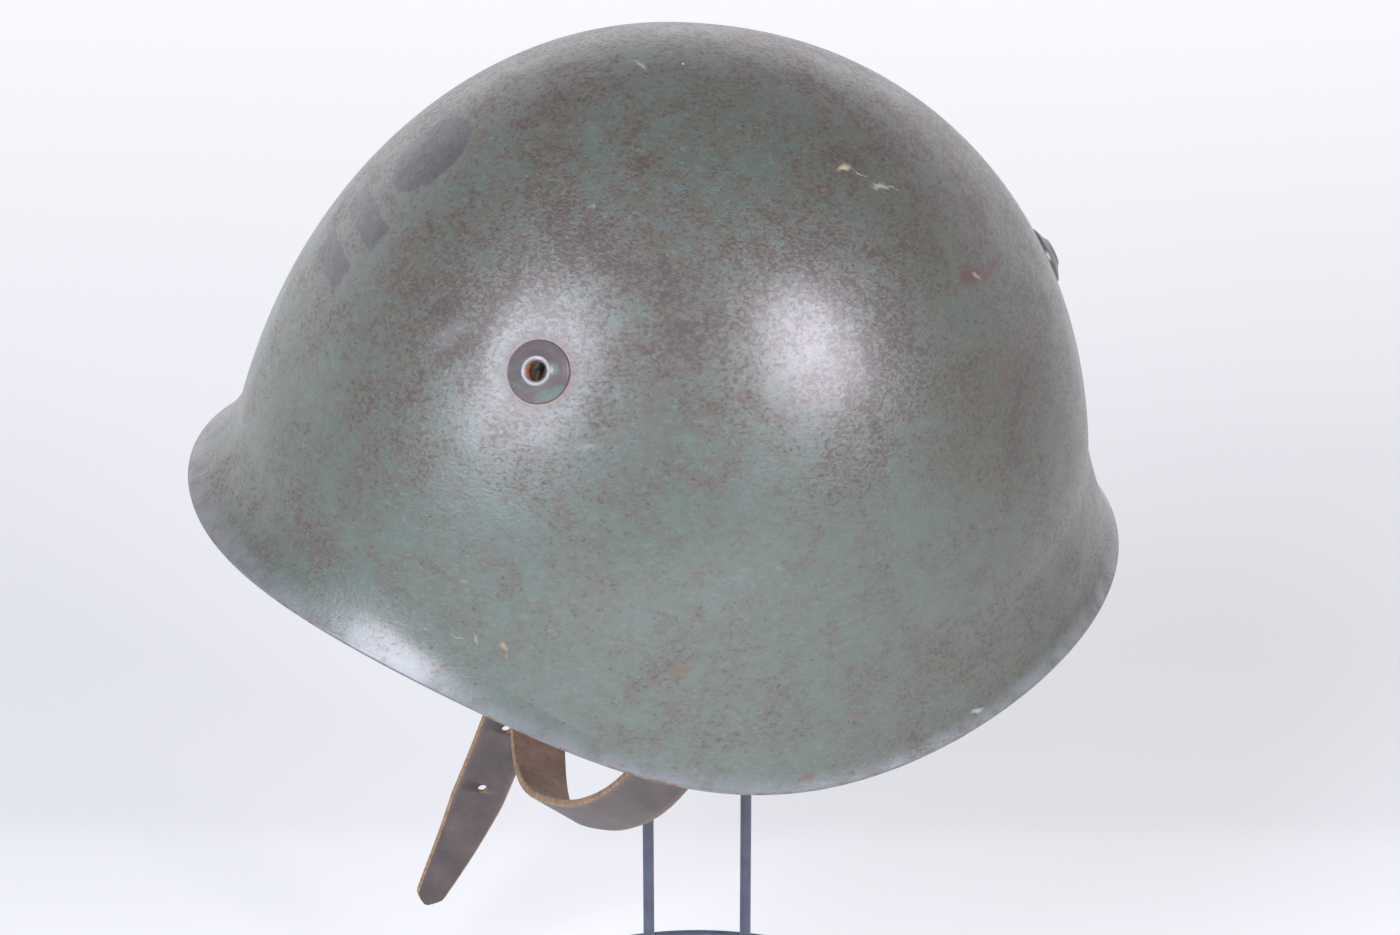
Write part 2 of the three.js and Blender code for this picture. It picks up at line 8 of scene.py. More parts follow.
import bpy
import numpy as np
from mathutils import Matrix, Vector


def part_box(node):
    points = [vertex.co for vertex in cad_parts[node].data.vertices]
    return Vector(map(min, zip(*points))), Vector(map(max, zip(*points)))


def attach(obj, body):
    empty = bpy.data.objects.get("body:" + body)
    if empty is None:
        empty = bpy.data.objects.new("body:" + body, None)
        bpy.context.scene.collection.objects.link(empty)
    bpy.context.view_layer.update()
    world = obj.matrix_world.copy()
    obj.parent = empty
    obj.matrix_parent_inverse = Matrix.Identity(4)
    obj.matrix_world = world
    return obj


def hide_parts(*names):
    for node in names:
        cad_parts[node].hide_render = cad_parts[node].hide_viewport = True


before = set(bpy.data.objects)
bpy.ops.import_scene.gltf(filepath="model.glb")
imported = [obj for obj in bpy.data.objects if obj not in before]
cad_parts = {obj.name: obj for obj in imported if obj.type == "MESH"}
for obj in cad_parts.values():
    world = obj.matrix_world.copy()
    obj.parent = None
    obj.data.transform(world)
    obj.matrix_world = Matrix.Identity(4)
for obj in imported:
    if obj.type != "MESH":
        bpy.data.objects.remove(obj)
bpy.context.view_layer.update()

MM = 0.001


def table(columns, *rows):
    """Rows of a short table, by the names of its columns."""
    return [dict(zip(columns.split(), row)) for row in rows]


# Steel shell, as in the solids
WALL = 1.2
FRONT_REACH = 123.0
REAR_REACH = 136.9
HALF_WIDTH = 115.2
CROWN_HEIGHT = 152.8
CROWN_SHIFT = -3.1
PLAN_POWER = 2.05
SIDE_POWER = 2.04
FRONT_POWER = 2.04
REAR_POWER = 2.11
RIM_MEAN = -7.8
RIM_WAVES = (-0.8, 16.3, -4.5, -1.7)
FLARE_MEAN = 7.5
FLARE_WAVES = (-0.5, 5.2)
FLARE_RISE = 26.1
FLARE_RISE_WAVES = (-6.7, -0.9)
FLARE_POWER = 1.39
FLARE_LIMIT = 1.2
# The last millimetres of the rim turn out a little more than the flare
LIP_OUT = 2.2
LIP_RISE = 10.0
LIP_LIMIT = 1.1
PITCH = math.radians(9.2)
CARRY_HEIGHT = 222.5

# Hollow vent rivets
SIDE_VENT_TURN = math.radians(51.3)
SIDE_VENT_HEIGHT = 85.7
REAR_VENT_HEIGHT = 90.2
VENT_HEAD = 8.8
VENT_HEAD_RISE = 2.6
VENT_LIP = 4.0
VENT_LIP_RISE = 0.5
VENT_HOLE = 2.8
VENT_SHANK = 4.4
VENT_FLANGE = 6.5
# Grime and a thin ring of rust in the paint round each head
VENT_GRIME = 4.5
VENT_RUST = 0.65
# Heights of the inner flanges over the shell's outside: the side ones hold a hanger
SIDE_FLANGE = -3.75
REAR_FLANGE = -1.9

# Plain hangers inside the shell
HANGER_THICK = 1.2
HANGER_BAR = 2.6
HANGER_SEAT = 2.8
HANGER_TURN = math.radians(92.2)
HANGER_DROP = 88.0
HANGER_STAND_OFF = 15.6
HANGER_BOW = 0.563

# Leather chin strap, with a little room where it folds over steel
GAP = 0.3
STRAP_LEAD = 7.0
STRAP_WIDTH = 18.0
STRAP_THICK = 2.3
STRAP_DROP = 100.0
STRAP_FLAP = 24.0
STRAP_TIP_WIDTH = 6.5
STRAP_TAPER = 42.0
TAIL_LENGTH = 119.5
TAIL_LEAD = 42.5
TAIL_LEAN = 3.0
HOLE_RADIUS = 1.6
HOLE_PITCH = 24.0
FIRST_HOLE = 46.5

# Route of the strap: across, fore and down are shares, out and dip lean the rear edge
STRAP_ROUTE = table(
    "across fore down out dip",
    (0.935, 0.125, 0.25, 0.16, 0.34),
    (0.801, 0.223, 0.482, 0.27, 0.58),
    (0.588, 0.281, 0.668, 0.24, 0.6),
    (0.337, 0.315, 0.817, 0.26, 0.66),
    (0.071, 0.333, 0.941, 0.27, 0.72),
    (-0.114, 0.319, 0.988, 0.23, 0.6),
    (-0.31, 0.287, 0.995, 0.15, 0.44),
    (-0.499, 0.245, 0.956, 0.15, 0.32),
    (-0.664, 0.194, 0.863, 0.18, 0.24),
    (-0.792, 0.143, 0.725, 0.2, 0.18))

# Route of the free end: shares of its length and of its lead towards the front
TAIL_ROUTE = table(
    "along lead out dip",
    (0.0, 0.0, 0.1, 0.2),
    (0.25, 0.18, 0.1, 0.24),
    (0.5, 0.41, 0.1, 0.37),
    (0.75, 0.68, 0.09, 0.42),
    (1.0, 1.0, 0.09, 0.48))

# Buckle frame and display stand
BUCKLE_WIRE = 2.6
BUCKLE_SIDE = 1.2
BUCKLE_WINDOW = 14.0
BUCKLE_CORNER = 2.4
RING_RADIUS = 90.0
STAND_WIRE = 3.0
HOOP_WIRE = 3.5
HOOP_SPAN = 32.0


# Camera of the photograph, in the object's frame, and its picture in pixels
CAMERA_BACK = (0.84493, -0.22921, 0.48330)
CAMERA_UP = (-0.46644, 0.12654, 0.87546)
CAMERA_TARGET = (-1.38, 12.89, 235.03)
CAMERA_DISTANCE = 1300.0
FOCAL_PIXELS = 4299.5
IMAGE_WIDTH = 1400
IMAGE_HEIGHT = 935


# Nodes, materials and meshes

def linear(code):
    """Linear colour from an sRGB hex value."""
    parts = [int(code[start:start + 2], 16) / 255 for start in (1, 3, 5)]
    return [part / 12.92 if part <= 0.04045 else ((part + 0.055) / 1.055) ** 2.4 for part in parts] + [1.0]


def set_inputs(tree, node, inputs):
    """Sets or links a node's inputs by name or by place."""
    open_sockets = [socket for socket in node.inputs if socket.enabled]
    for key, value in inputs.items():
        if isinstance(key, int):
            socket = open_sockets[key]
        else:
            socket = next(socket for socket in open_sockets if socket.name == key)
        if isinstance(value, bpy.types.Node):
            value = next(output for output in value.outputs if output.enabled)
        if isinstance(value, bpy.types.NodeSocket):
            tree.links.new(value, socket)
        elif isinstance(value, str) and value.startswith("#"):
            socket.default_value = linear(value)
        else:
            socket.default_value = value


def add(tree, kind, inputs=None, ramp=None, **settings):
    """Adds a node with its settings, inputs and the steps of its colour ramp."""
    node = tree.nodes.new(kind)
    for name, value in settings.items():
        setattr(node, name, value)
    set_inputs(tree, node, inputs or {})
    for index, (place, colour) in enumerate(ramp or ()):
        steps = node.color_ramp.elements
        step = steps[index] if index < 2 else steps.new(place)
        step.position = place
        step.color = linear(colour)
    return node


def per_metre(size):
    """Texture scale that gives a pattern of a size in millimetres, on coordinates in metres."""
    return 1 / (size * MM)


def new_material(name):
    """A material with one Principled shader."""
    made = bpy.data.materials.new(name)
    made.use_nodes = True
    tree = made.node_tree
    tree.nodes.clear()
    shader = add(tree, "ShaderNodeBsdfPrincipled")
    add(tree, "ShaderNodeOutputMaterial", {"Surface": shader})
    return made, tree, shader


def new_object(name, points, edges=(), faces=()):
    """An object from points in millimetres, with its edges and faces."""
    mesh = bpy.data.meshes.new(name)
    mesh.from_pydata((np.asarray(points) * MM).tolist(), edges, [list(map(int, face)) for face in faces])
    made = bpy.data.objects.new(name, mesh)
    bpy.context.scene.collection.objects.link(made)
    return made


def new_piece(name, points, faces, materials, slots=None, uv=None):
    """A smooth piece with a slot for each face and a UV for each point."""
    piece = new_object(name, points, faces=faces)
    mesh = piece.data
    for material in materials:
        mesh.materials.append(material)
    if slots is not None:
        mesh.polygons.foreach_set("material_index", np.asarray(slots, np.int32))
    mesh.polygons.foreach_set("use_smooth", np.ones(len(mesh.polygons), bool))
    if uv is not None:
        corners = np.zeros(len(mesh.loops), np.int32)
        mesh.loops.foreach_get("vertex_index", corners)
        layer = mesh.uv_layers.new(name="strap")
        layer.data.foreach_set("uv", np.asarray(uv)[corners].astype(np.float32).ravel())
    mesh.update()
    return piece


def grown(piece, tree, values):
    """Applies a Geometry Nodes tree to a piece, with its named inputs, and keeps the plain mesh."""
    modifier = piece.modifiers.new(tree.name, "NODES")
    modifier.node_group = tree
    names = {item.name: item.identifier for item in tree.interface.items_tree if item.in_out == "INPUT"}
    for name, value in values.items():
        modifier[names[name]] = value
    piece.update_tag()
    bpy.context.view_layer.update()
    evaluated = piece.evaluated_get(bpy.context.evaluated_depsgraph_get())
    mesh = bpy.data.meshes.new_from_object(evaluated)
    piece.modifiers.clear()
    piece.data = mesh
    mesh.name = piece.name
    return piece


def new_tree(name, sockets):
    """A Geometry Nodes tree with a geometry in and out, and named inputs."""
    tree = bpy.data.node_groups.new(name, "GeometryNodeTree")
    tree.interface.new_socket("Geometry", in_out="INPUT", socket_type="NodeSocketGeometry")
    for label, kind in sockets.items():
        tree.interface.new_socket(label, in_out="INPUT", socket_type=kind)
    tree.interface.new_socket("Geometry", in_out="OUTPUT", socket_type="NodeSocketGeometry")
    return tree, add(tree, "NodeGroupInput").outputs


# The shell's surface

def waved(middle, waves, turn):
    """A size that changes round the helmet: its middle value and cosine waves of the turn."""
    return middle + sum(wave * np.cos((index + 1) * turn) for index, wave in enumerate(waves))


def rim_height(turn):
    """Height of the rim at a turn, in the helmet's frame."""
    return waved(RIM_MEAN, RIM_WAVES, turn)


def shell_point(turn, height):
    """Outer surface at a turn from the front towards the left side, and a height, in the helmet's frame."""
    turn, height = np.broadcast_arrays(np.asarray(turn, float), np.asarray(height, float))
    ahead, aside = np.cos(turn), np.sin(turn)
    power = SIDE_POWER + (np.where(ahead > 0, FRONT_POWER, REAR_POWER) - SIDE_POWER) * ahead ** 2
    rise = np.clip(height / CROWN_HEIGHT, 0, 1)
    section = np.maximum(1 - rise ** power, 0) ** (1 / power)
    reach = np.where(ahead > 0, FRONT_REACH, REAR_REACH)
    spread = np.abs(ahead / reach) ** PLAN_POWER + np.abs(aside / HALF_WIDTH) ** PLAN_POWER
    plan = spread ** (-1 / PLAN_POWER)
    flare_height = waved(FLARE_RISE, FLARE_RISE_WAVES, turn)
    flare_share = (rim_height(turn) + flare_height - height) / flare_height
    flare = waved(FLARE_MEAN, FLARE_WAVES, turn) * np.clip(flare_share, 0, FLARE_LIMIT) ** FLARE_POWER
    lip = LIP_OUT * np.clip((rim_height(turn) + LIP_RISE - height) / LIP_RISE, 0, LIP_LIMIT) ** 2
    flare = flare - LIP_OUT * np.clip(flare_share, 0, 1) + lip
    radius = plan * section + flare
    return np.stack([radius * aside, -radius * ahead - CROWN_SHIFT * rise, height], -1)


def unit(vectors):
    """Vectors of length one."""
    return vectors / np.linalg.norm(vectors, axis=-1, keepdims=True)


def shell_normal(turn, height):
    """Direction out of the shell's surface."""
    turn, height = np.broadcast_arrays(np.asarray(turn, float), np.asarray(height, float))
    turn_step, height_step = 0.01, 0.5
    high = np.minimum(height + height_step, CROWN_HEIGHT)
    along_turn = shell_point(turn + turn_step, height) - shell_point(turn - turn_step, height)
    along_rise = shell_point(turn, high) - shell_point(turn, height - height_step)
    return unit(np.cross(along_turn, along_rise))


def turned(vectors):
    """From the helmet's frame to the object's, for directions."""
    cos, sin = math.cos(-PITCH), math.sin(-PITCH)
    return vectors @ np.array([[1, 0, 0], [0, cos, sin], [0, -sin, cos]])


def placed(points):
    """From the helmet's frame to the object's, for points."""
    return turned(points) + np.array([0, shift_y, CARRY_HEIGHT])


def in_shell(turn, height, depth):
    """Point a depth inside the shell's outer surface."""
    return shell_point(turn, height) - shell_normal(turn, height) * depth


# The solids were moved along Y to centre the whole object: the shell's box says how far
shift_y = 0.0
rim_turns = np.linspace(0, 2 * math.pi, 721)
rim_line = placed(shell_point(rim_turns, rim_height(rim_turns)))
shell_low, shell_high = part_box("steel_shell")
shift_y = (shell_low[1] + shell_high[1]) / 2 / MM - (rim_line[:, 1].min() + rim_line[:, 1].max()) / 2


# Places on the shell for marks

def surface_frame(turn, height, roll=0.0):
    """Matrix in metres with X level along the surface, Y up the surface and Z out of it, rolled about Z."""
    out = turned(shell_normal(turn, height))
    level = unit(turned(np.array([math.cos(turn), math.sin(turn), 0.0])))
    level = unit(level - out * (level @ out))
    up = np.cross(out, level)
    cos, sin = math.cos(roll), math.sin(roll)
    axes = (level * cos + up * sin, up * cos - level * sin, out)
    made = Matrix.Identity(4)
    at = placed(shell_point(turn, height)) * MM
    for column, axis in enumerate(axes):
        for row in range(3):
            made[row][column] = axis[row]
    for row in range(3):
        made[row][3] = at[row]
    return made


def in_picture(points):
    """Pixels of the photograph at which points in millimetres are seen."""
    back, up = np.array(CAMERA_BACK), np.array(CAMERA_UP)
    offset = points - np.array(CAMERA_TARGET) - back * CAMERA_DISTANCE
    depth = -(offset @ back)
    return np.stack([IMAGE_WIDTH / 2 + FOCAL_PIXELS * (offset @ np.cross(up, back)) / depth,
                     IMAGE_HEIGHT / 2 - FOCAL_PIXELS * (offset @ up) / depth], -1)


def seen_at(pixel):
    """Turn and height of the shell's point that the photograph shows at a pixel."""
    turn_count, rise_count, refinements, least_facing = 121, 60, 5, 0.05
    turns, rises = np.meshgrid(
        np.linspace(0, math.pi, turn_count), np.linspace(0.02, 0.98, rise_count), indexing="ij")
    heights = rim_height(turns) + (CROWN_HEIGHT - rim_height(turns)) * np.sin(rises * math.pi / 2)
    facing = turned(shell_normal(turns, heights)) @ np.array(CAMERA_BACK)
    miss = np.linalg.norm(in_picture(placed(shell_point(turns, heights))) - pixel, axis=-1)
    nearest = np.unravel_index(np.argmin(np.where(facing > least_facing, miss, np.inf)), miss.shape)
    found = np.array([turns[nearest], heights[nearest]])
    steps = np.diag([0.002, 0.1])
    for _ in range(refinements):
        here = in_picture(placed(shell_point(*found)))
        slopes = np.stack([(in_picture(placed(shell_point(*(found + step)))) - here) / step.sum()
                           for step in steps], -1)
        found = found + np.linalg.solve(slopes, pixel - here)
    return found


def mark_frame(start, stop):
    """Frame and length of a mark that the photograph shows from one pixel to another: X along it."""
    ends = [placed(shell_point(*seen_at(pixel))) for pixel in (start, stop)]
    place = surface_frame(*seen_at((np.array(start) + stop) / 2))
    along = Vector(ends[1] - ends[0])
    level = place.to_3x3().transposed() @ along
    return place @ Matrix.Rotation(math.atan2(level.y, level.x), 4, "Z"), along.length


VENTS = table(
    "turn height",
    (SIDE_VENT_TURN, SIDE_VENT_HEIGHT),
    (-SIDE_VENT_TURN, SIDE_VENT_HEIGHT),
    (math.pi, REAR_VENT_HEIGHT))


# Disc and bars of the stencil: height over its middle, radius, width and height, and its blurred edge
STENCIL_HEIGHT = 96.0
STENCIL_BLUR = 0.5
STENCIL_DISC = {"up": 26.0, "radius": 14.0}
STENCIL_BARS = table(
    "up wide tall",
    (0.0, 32.0, 9.0),
    (-16.0, 26.0, 9.0))

# Marks in the paint, each between two pixels of the photograph and some pixels wide: a brown chip by the
# rear vent, cream scratches near the crown, dark scratches, rust and yellow primer chips by the rim, and a
# faint pale bluish patch left of the side vent, which is a painted reflection
PAINT_MARKS = table(
    "start stop wide soft share colour",
    ((958, 279), (985, 271), 20, 0.6, 1.0, "#3c1914"),
    ((982, 282), (1002, 253), 11, 0.7, 1.0, "#3c1914"),
    ((972, 272), (981, 279), 4, 0.7, 0.6, "#8a8378"),
    ((838, 170), (850, 165), 6, 1.0, 0.75, "#b5a78c"),
    ((850, 168), (868, 178), 2.2, 0.6, 0.7, "#a39b83"),
    ((872, 186), (888, 186), 6, 0.8, 0.55, "#a3a391"),
    ((884, 183), (900, 191), 2.0, 0.6, 0.5, "#9da195"),
    ((634, 60), (648, 70), 4, 0.8, 0.6, "#9a9d97"),
    ((680, 62), (683, 64), 2.5, 0.4, 0.8, "#b4b5b0"),
    ((443, 148), (446, 173), 1.6, 0.5, 0.8, "#2a2423"),
    ((475, 156), (476.5, 168), 1.8, 0.5, 0.8, "#2c2625"),
    ((852, 433), (862, 430), 3.2, 0.6, 0.9, "#1f2636"),
    ((866, 427), (878, 421), 3.4, 0.6, 0.9, "#1f2636"),
    ((1008, 350), (1000, 398), 18, 1.0, 0.62, "#452a1c"),
    ((668, 668), (690, 672), 18, 0.9, 0.6, "#553827"),
    ((676, 668), (684, 676), 8, 0.8, 0.5, "#6e4229"),
    ((473, 632), (478, 645), 3, 0.6, 0.6, "#8d7d56"),
    ((500, 642), (507, 649), 6, 0.6, 0.62, "#928259"),
    ((503, 653), (507, 656), 4, 0.5, 0.6, "#86653f"),
    ((424, 627), (428, 630), 2.5, 0.5, 0.6, "#94835e"),
    ((451, 635), (466, 640), 1.8, 0.6, 0.6, "#94835e"),
    ((508, 588), (522, 587), 3, 0.8, 0.6, "#6b3d28"),
    ((459, 581), (468, 582), 2, 0.7, 0.6, "#8d7550"),
    ((971, 713), (984, 708), 5, 0.7, 0.6, "#9ba5a0"),
    ((850, 714), (866, 716), 7, 0.8, 0.6, "#57382a"),
    ((800, 779), (816, 776), 8, 0.8, 0.6, "#57382a"),
    ((629, 747), (633, 755), 7, 0.8, 0.6, "#53332a"),
    ((712, 722), (718, 730), 6, 0.8, 0.55, "#5a3b2c"),
    ((640, 290), (652, 296), 12, 0.9, 0.5, "#33251f"),
    ((582, 446), (596, 447), 7, 0.9, 0.4, "#7c8f8b"),
    ((590, 205), (596, 208), 4, 0.8, 0.45, "#7c8f8b"),
    # Painted reflection: a faint pale bluish patch left of the side vent
    ((430, 350), (470, 318), 22, 1.0, 0.22, "#8a989a"))


# Materials

def distance_from(tree, where, place, scale=(1.0, 1.0, 1.0)):
    """Distance from a place on the shell, measured in its own frame."""
    local = add(tree, "ShaderNodeMapping", {
        "Vector": where, "Location": place.to_translation(), "Rotation": place.to_euler(), "Scale": scale},
        vector_type="TEXTURE")
    return add(tree, "ShaderNodeVectorMath", {0: local}, operation="LENGTH").outputs["Value"]


def patch_mask(tree, wander, place, long, wide, soft):
    """Mask of an oval mark at a place on the shell: one inside it, falling to nothing at its edge."""
    far = distance_from(tree, wander, place, (long / 2 * MM, wide / 2 * MM, 8 * MM))
    return add(tree, "ShaderNodeMapRange", {
        "Value": far, "From Min": 1.0 + soft / 2, "From Max": 1.0 - soft}, interpolation_type="SMOOTHSTEP")


def layered(tree, colour, layers):
    """A colour with others laid over it in turn, each by a share and in a way."""
    for above, share, way in layers:
        colour = add(tree, "ShaderNodeMix", {"Factor": share, "A": colour, "B": above},
                     data_type="RGBA", blend_type=way)
    return colour


def helmet_paint():
    """Sprayed satin paint on steel: it is rubbed in fine flecks to the brown primer under it."""
    made, tree, shader = new_material("worn_satin_helmet_paint")
    where = add(tree, "ShaderNodeTexCoord").outputs["Object"]
    low_high = add(tree, "ShaderNodeSeparateXYZ", {"Vector": where})
    stretched = add(tree, "ShaderNodeMapping", {"Vector": where, "Scale": (1.0, 1.0, 1.5)})
    # In turn: broad patches; tones; blotches of two or three millimetres, where the green-grey paint is
    # thinned to the mauve-brown primer; dark flecks up to a millimetre long, lying mostly level; a small
    # wander that frays the edges of specks and marks; and the grain of the sprayed paint, drawn at 1.3 mm
    # because the real grain of 0.3 mm wouldn't show
    patches, tones, blotches, flecks, wobble, grit = (
        add(tree, "ShaderNodeTexNoise", {
            "Vector": row["on"], "Scale": per_metre(row["size"]), "Detail": row["detail"],
            "Roughness": row["rough"], "Distortion": row["distortion"]})
        for row in table(
            "on size detail rough distortion",
            (where, 60, 5.0, 0.55, 0.4),
            (where, 11, 6.0, 0.62, 0.6),
            (stretched, 3.6, 7.0, 0.72, 0.4),
            (stretched, 1.5, 4.0, 0.62, 0.5),
            (where, 2.6, 5.0, 0.7, 0.0),
            (stretched, 1.3, 4.0, 0.65, 0.0)))
    cloud = add(tree, "ShaderNodeMath", {0: patches, 1: 1.1, 2: tones}, operation="MULTIPLY_ADD")
    height = add(tree, "ShaderNodeMapRange", {
        "Value": low_high.outputs["Z"], "From Min": 0.27, "From Max": 0.37})
    browner = add(tree, "ShaderNodeMath", {0: height, 1: 0.2, 2: cloud}, operation="MULTIPLY_ADD")
    # Share towards the back: it browns the paint there, and also darkens the back as painted shade
    rear = add(tree, "ShaderNodeMapRange", {
        "Value": low_high.outputs["Y"], "From Min": -0.01, "From Max": 0.1})
    browner = add(tree, "ShaderNodeMath", {0: rear, 1: 0.16, 2: browner}, operation="MULTIPLY_ADD")
    worn = add(tree, "ShaderNodeMath", {0: browner, 1: 0.6, 2: blotches}, operation="MULTIPLY_ADD")
    base = add(tree, "ShaderNodeValToRGB", {"Fac": add(tree, "ShaderNodeMapRange", {
        "Value": worn, "From Min": 0.96, "From Max": 1.44})}, ramp=(
            (0.0, "#4b5b51"), (0.3, "#4a554b"), (0.52, "#4a4e43"), (0.72, "#4c483b"), (1.0, "#45382c")))
    edge = add(tree, "ShaderNodeMath", {0: browner, 1: -0.36, 2: 0.968}, operation="MULTIPLY_ADD")
    fleck_lift = add(tree, "ShaderNodeMath", {0: flecks, 1: edge}, operation="SUBTRACT")
    fleck_mask = add(tree, "ShaderNodeMapRange", {
        "Value": fleck_lift, "From Min": -0.03, "From Max": 0.1, "To Max": 0.7})
    # Paler rubbed flecks between them
    rubs = add(tree, "ShaderNodeTexNoise", {
        "Vector": stretched, "Scale": per_metre(1.9), "Detail": 4.0, "Roughness": 0.65, "W": 3.0},
        noise_dimensions="4D")
    rub_mask = add(tree, "ShaderNodeMapRange", {
        "Value": rubs, "From Min": 0.53, "From Max": 0.7, "To Max": 0.5})
    # The last few millimetres above the rim are painted pale in patches: partly rubbed wear, partly a
    # painted highlight along the flare
    above_rim = add(tree, "ShaderNodeAttribute", attribute_name="above_rim").outputs["Fac"]
    near_rim = add(tree, "ShaderNodeMapRange", {
        "Value": above_rim, "From Min": 6.5 * MM, "From Max": 0.8 * MM},
        interpolation_type="SMOOTHSTEP")
    rim_patchiness = add(tree, "ShaderNodeMapRange", {
        "Value": tones, "From Min": 0.38, "From Max": 0.6, "To Min": 0.65, "To Max": 0.25})
    rim_wear_and_highlight = add(tree, "ShaderNodeMath", {0: near_rim, 1: rim_patchiness}, operation="MULTIPLY")
    centred = add(tree, "ShaderNodeVectorMath", {
        0: wobble.outputs["Color"], 1: (0.5, 0.5, 0.5)}, operation="SUBTRACT")
    wander = add(tree, "ShaderNodeVectorMath", {
        0: centred, "Scale": 4 * MM}, operation="SCALE")
    wander = add(tree, "ShaderNodeVectorMath", {0: where, 1: wander}, operation="ADD")
    # Orange rust specks, close together near the rim
    specks = add(tree, "ShaderNodeTexVoronoi", {"Vector": wander, "Scale": per_metre(5.0)})
    speck_sizes = add(tree, "ShaderNodeSeparateColor", {"Color": specks.outputs["Color"]})
    speck_floor = add(tree, "ShaderNodeMapRange", {
        "Value": low_high.outputs["Z"], "From Min": 0.19, "From Max": 0.27, "To Min": 0.42, "To Max": 0.9})
    speck_limit = add(tree, "ShaderNodeMapRange", {
        "Value": speck_sizes.outputs["Red"], "From Min": speck_floor, "From Max": 1.0,
        "To Max": 0.19})
    speck_mask = add(tree, "ShaderNodeMath", {
        0: specks.outputs["Distance"], 1: speck_limit}, operation="LESS_THAN")
    speck_soft = add(tree, "ShaderNodeMath", {0: speck_mask, 1: 0.5}, operation="MULTIPLY")
    # Laid over the paint in this order: flecks, rubs, painted shade that darkens and browns the back, the
    # pale rim of wear and painted highlight, and the specks
    layers = [("#2d2822", fleck_mask, "MIX"), ("#636b64", rub_mask, "MIX"), ("#c6c6b2", rear, "MULTIPLY"),
              ("#717678", rim_wear_and_highlight, "MIX"), ("#5f4231", speck_soft, "MIX")]
    for mark in PAINT_MARKS:
        place, long = mark_frame(mark["start"], mark["stop"])
        wide = mark["wide"] * CAMERA_DISTANCE / FOCAL_PIXELS
        mask = patch_mask(tree, wander, place, long, wide, mark["soft"])
        share = add(tree, "ShaderNodeMath", {0: mask, 1: mark["share"]}, operation="MULTIPLY")
        layers.append((mark["colour"], share, "MIX"))
    # Grime round the vent rivets, and rust that creeps out from under them
    dulled = 0.0
    for vent in VENTS:
        far = distance_from(tree, where, surface_frame(vent["turn"], vent["height"]))
        halo = add(tree, "ShaderNodeMapRange", {
            "Value": far, "From Min": (VENT_HEAD + VENT_GRIME) * MM, "From Max": VENT_HEAD * MM,
            "To Max": 0.75}, interpolation_type="SMOOTHSTEP")
        dulled = add(tree, "ShaderNodeMath", {0: halo, 1: dulled}, operation="ADD")
        ring = add(tree, "ShaderNodeMapRange", {
            "Value": far, "From Min": (VENT_HEAD + VENT_RUST) * MM,
            "From Max": (VENT_HEAD + VENT_RUST - 0.5) * MM})
        layers += [("#43382f", halo, "MIX"), ("#7d4d27", ring, "MIX")]
    layers.append(("#2f2a31", stencil_mask(tree, where, wander), "MIX"))

    gloss = add(tree, "ShaderNodeMapRange", {
        "Value": tones, "From Min": 0.3, "From Max": 0.7, "To Min": 0.37, "To Max": 0.45})
    rough = add(tree, "ShaderNodeMath", {0: fleck_mask, 1: 0.25, 2: gloss}, operation="MULTIPLY_ADD")
    rough = add(tree, "ShaderNodeMath", {0: dulled, 1: 0.35, 2: rough}, operation="MULTIPLY_ADD")
    relief = add(tree, "ShaderNodeMath", {0: fleck_mask, 1: -0.5, 2: grit}, operation="MULTIPLY_ADD")
    bump = add(tree, "ShaderNodeBump", {"Height": relief, "Strength": 1.0, "Distance": 0.22 * MM})
    set_inputs(tree, shader, {
        "Base Color": layered(tree, base, layers), "Roughness": rough, "Normal": bump, "IOR": 1.62,
        "Coat Weight": 0.7, "Coat Roughness": 0.27, "Coat IOR": 1.5})
    return made


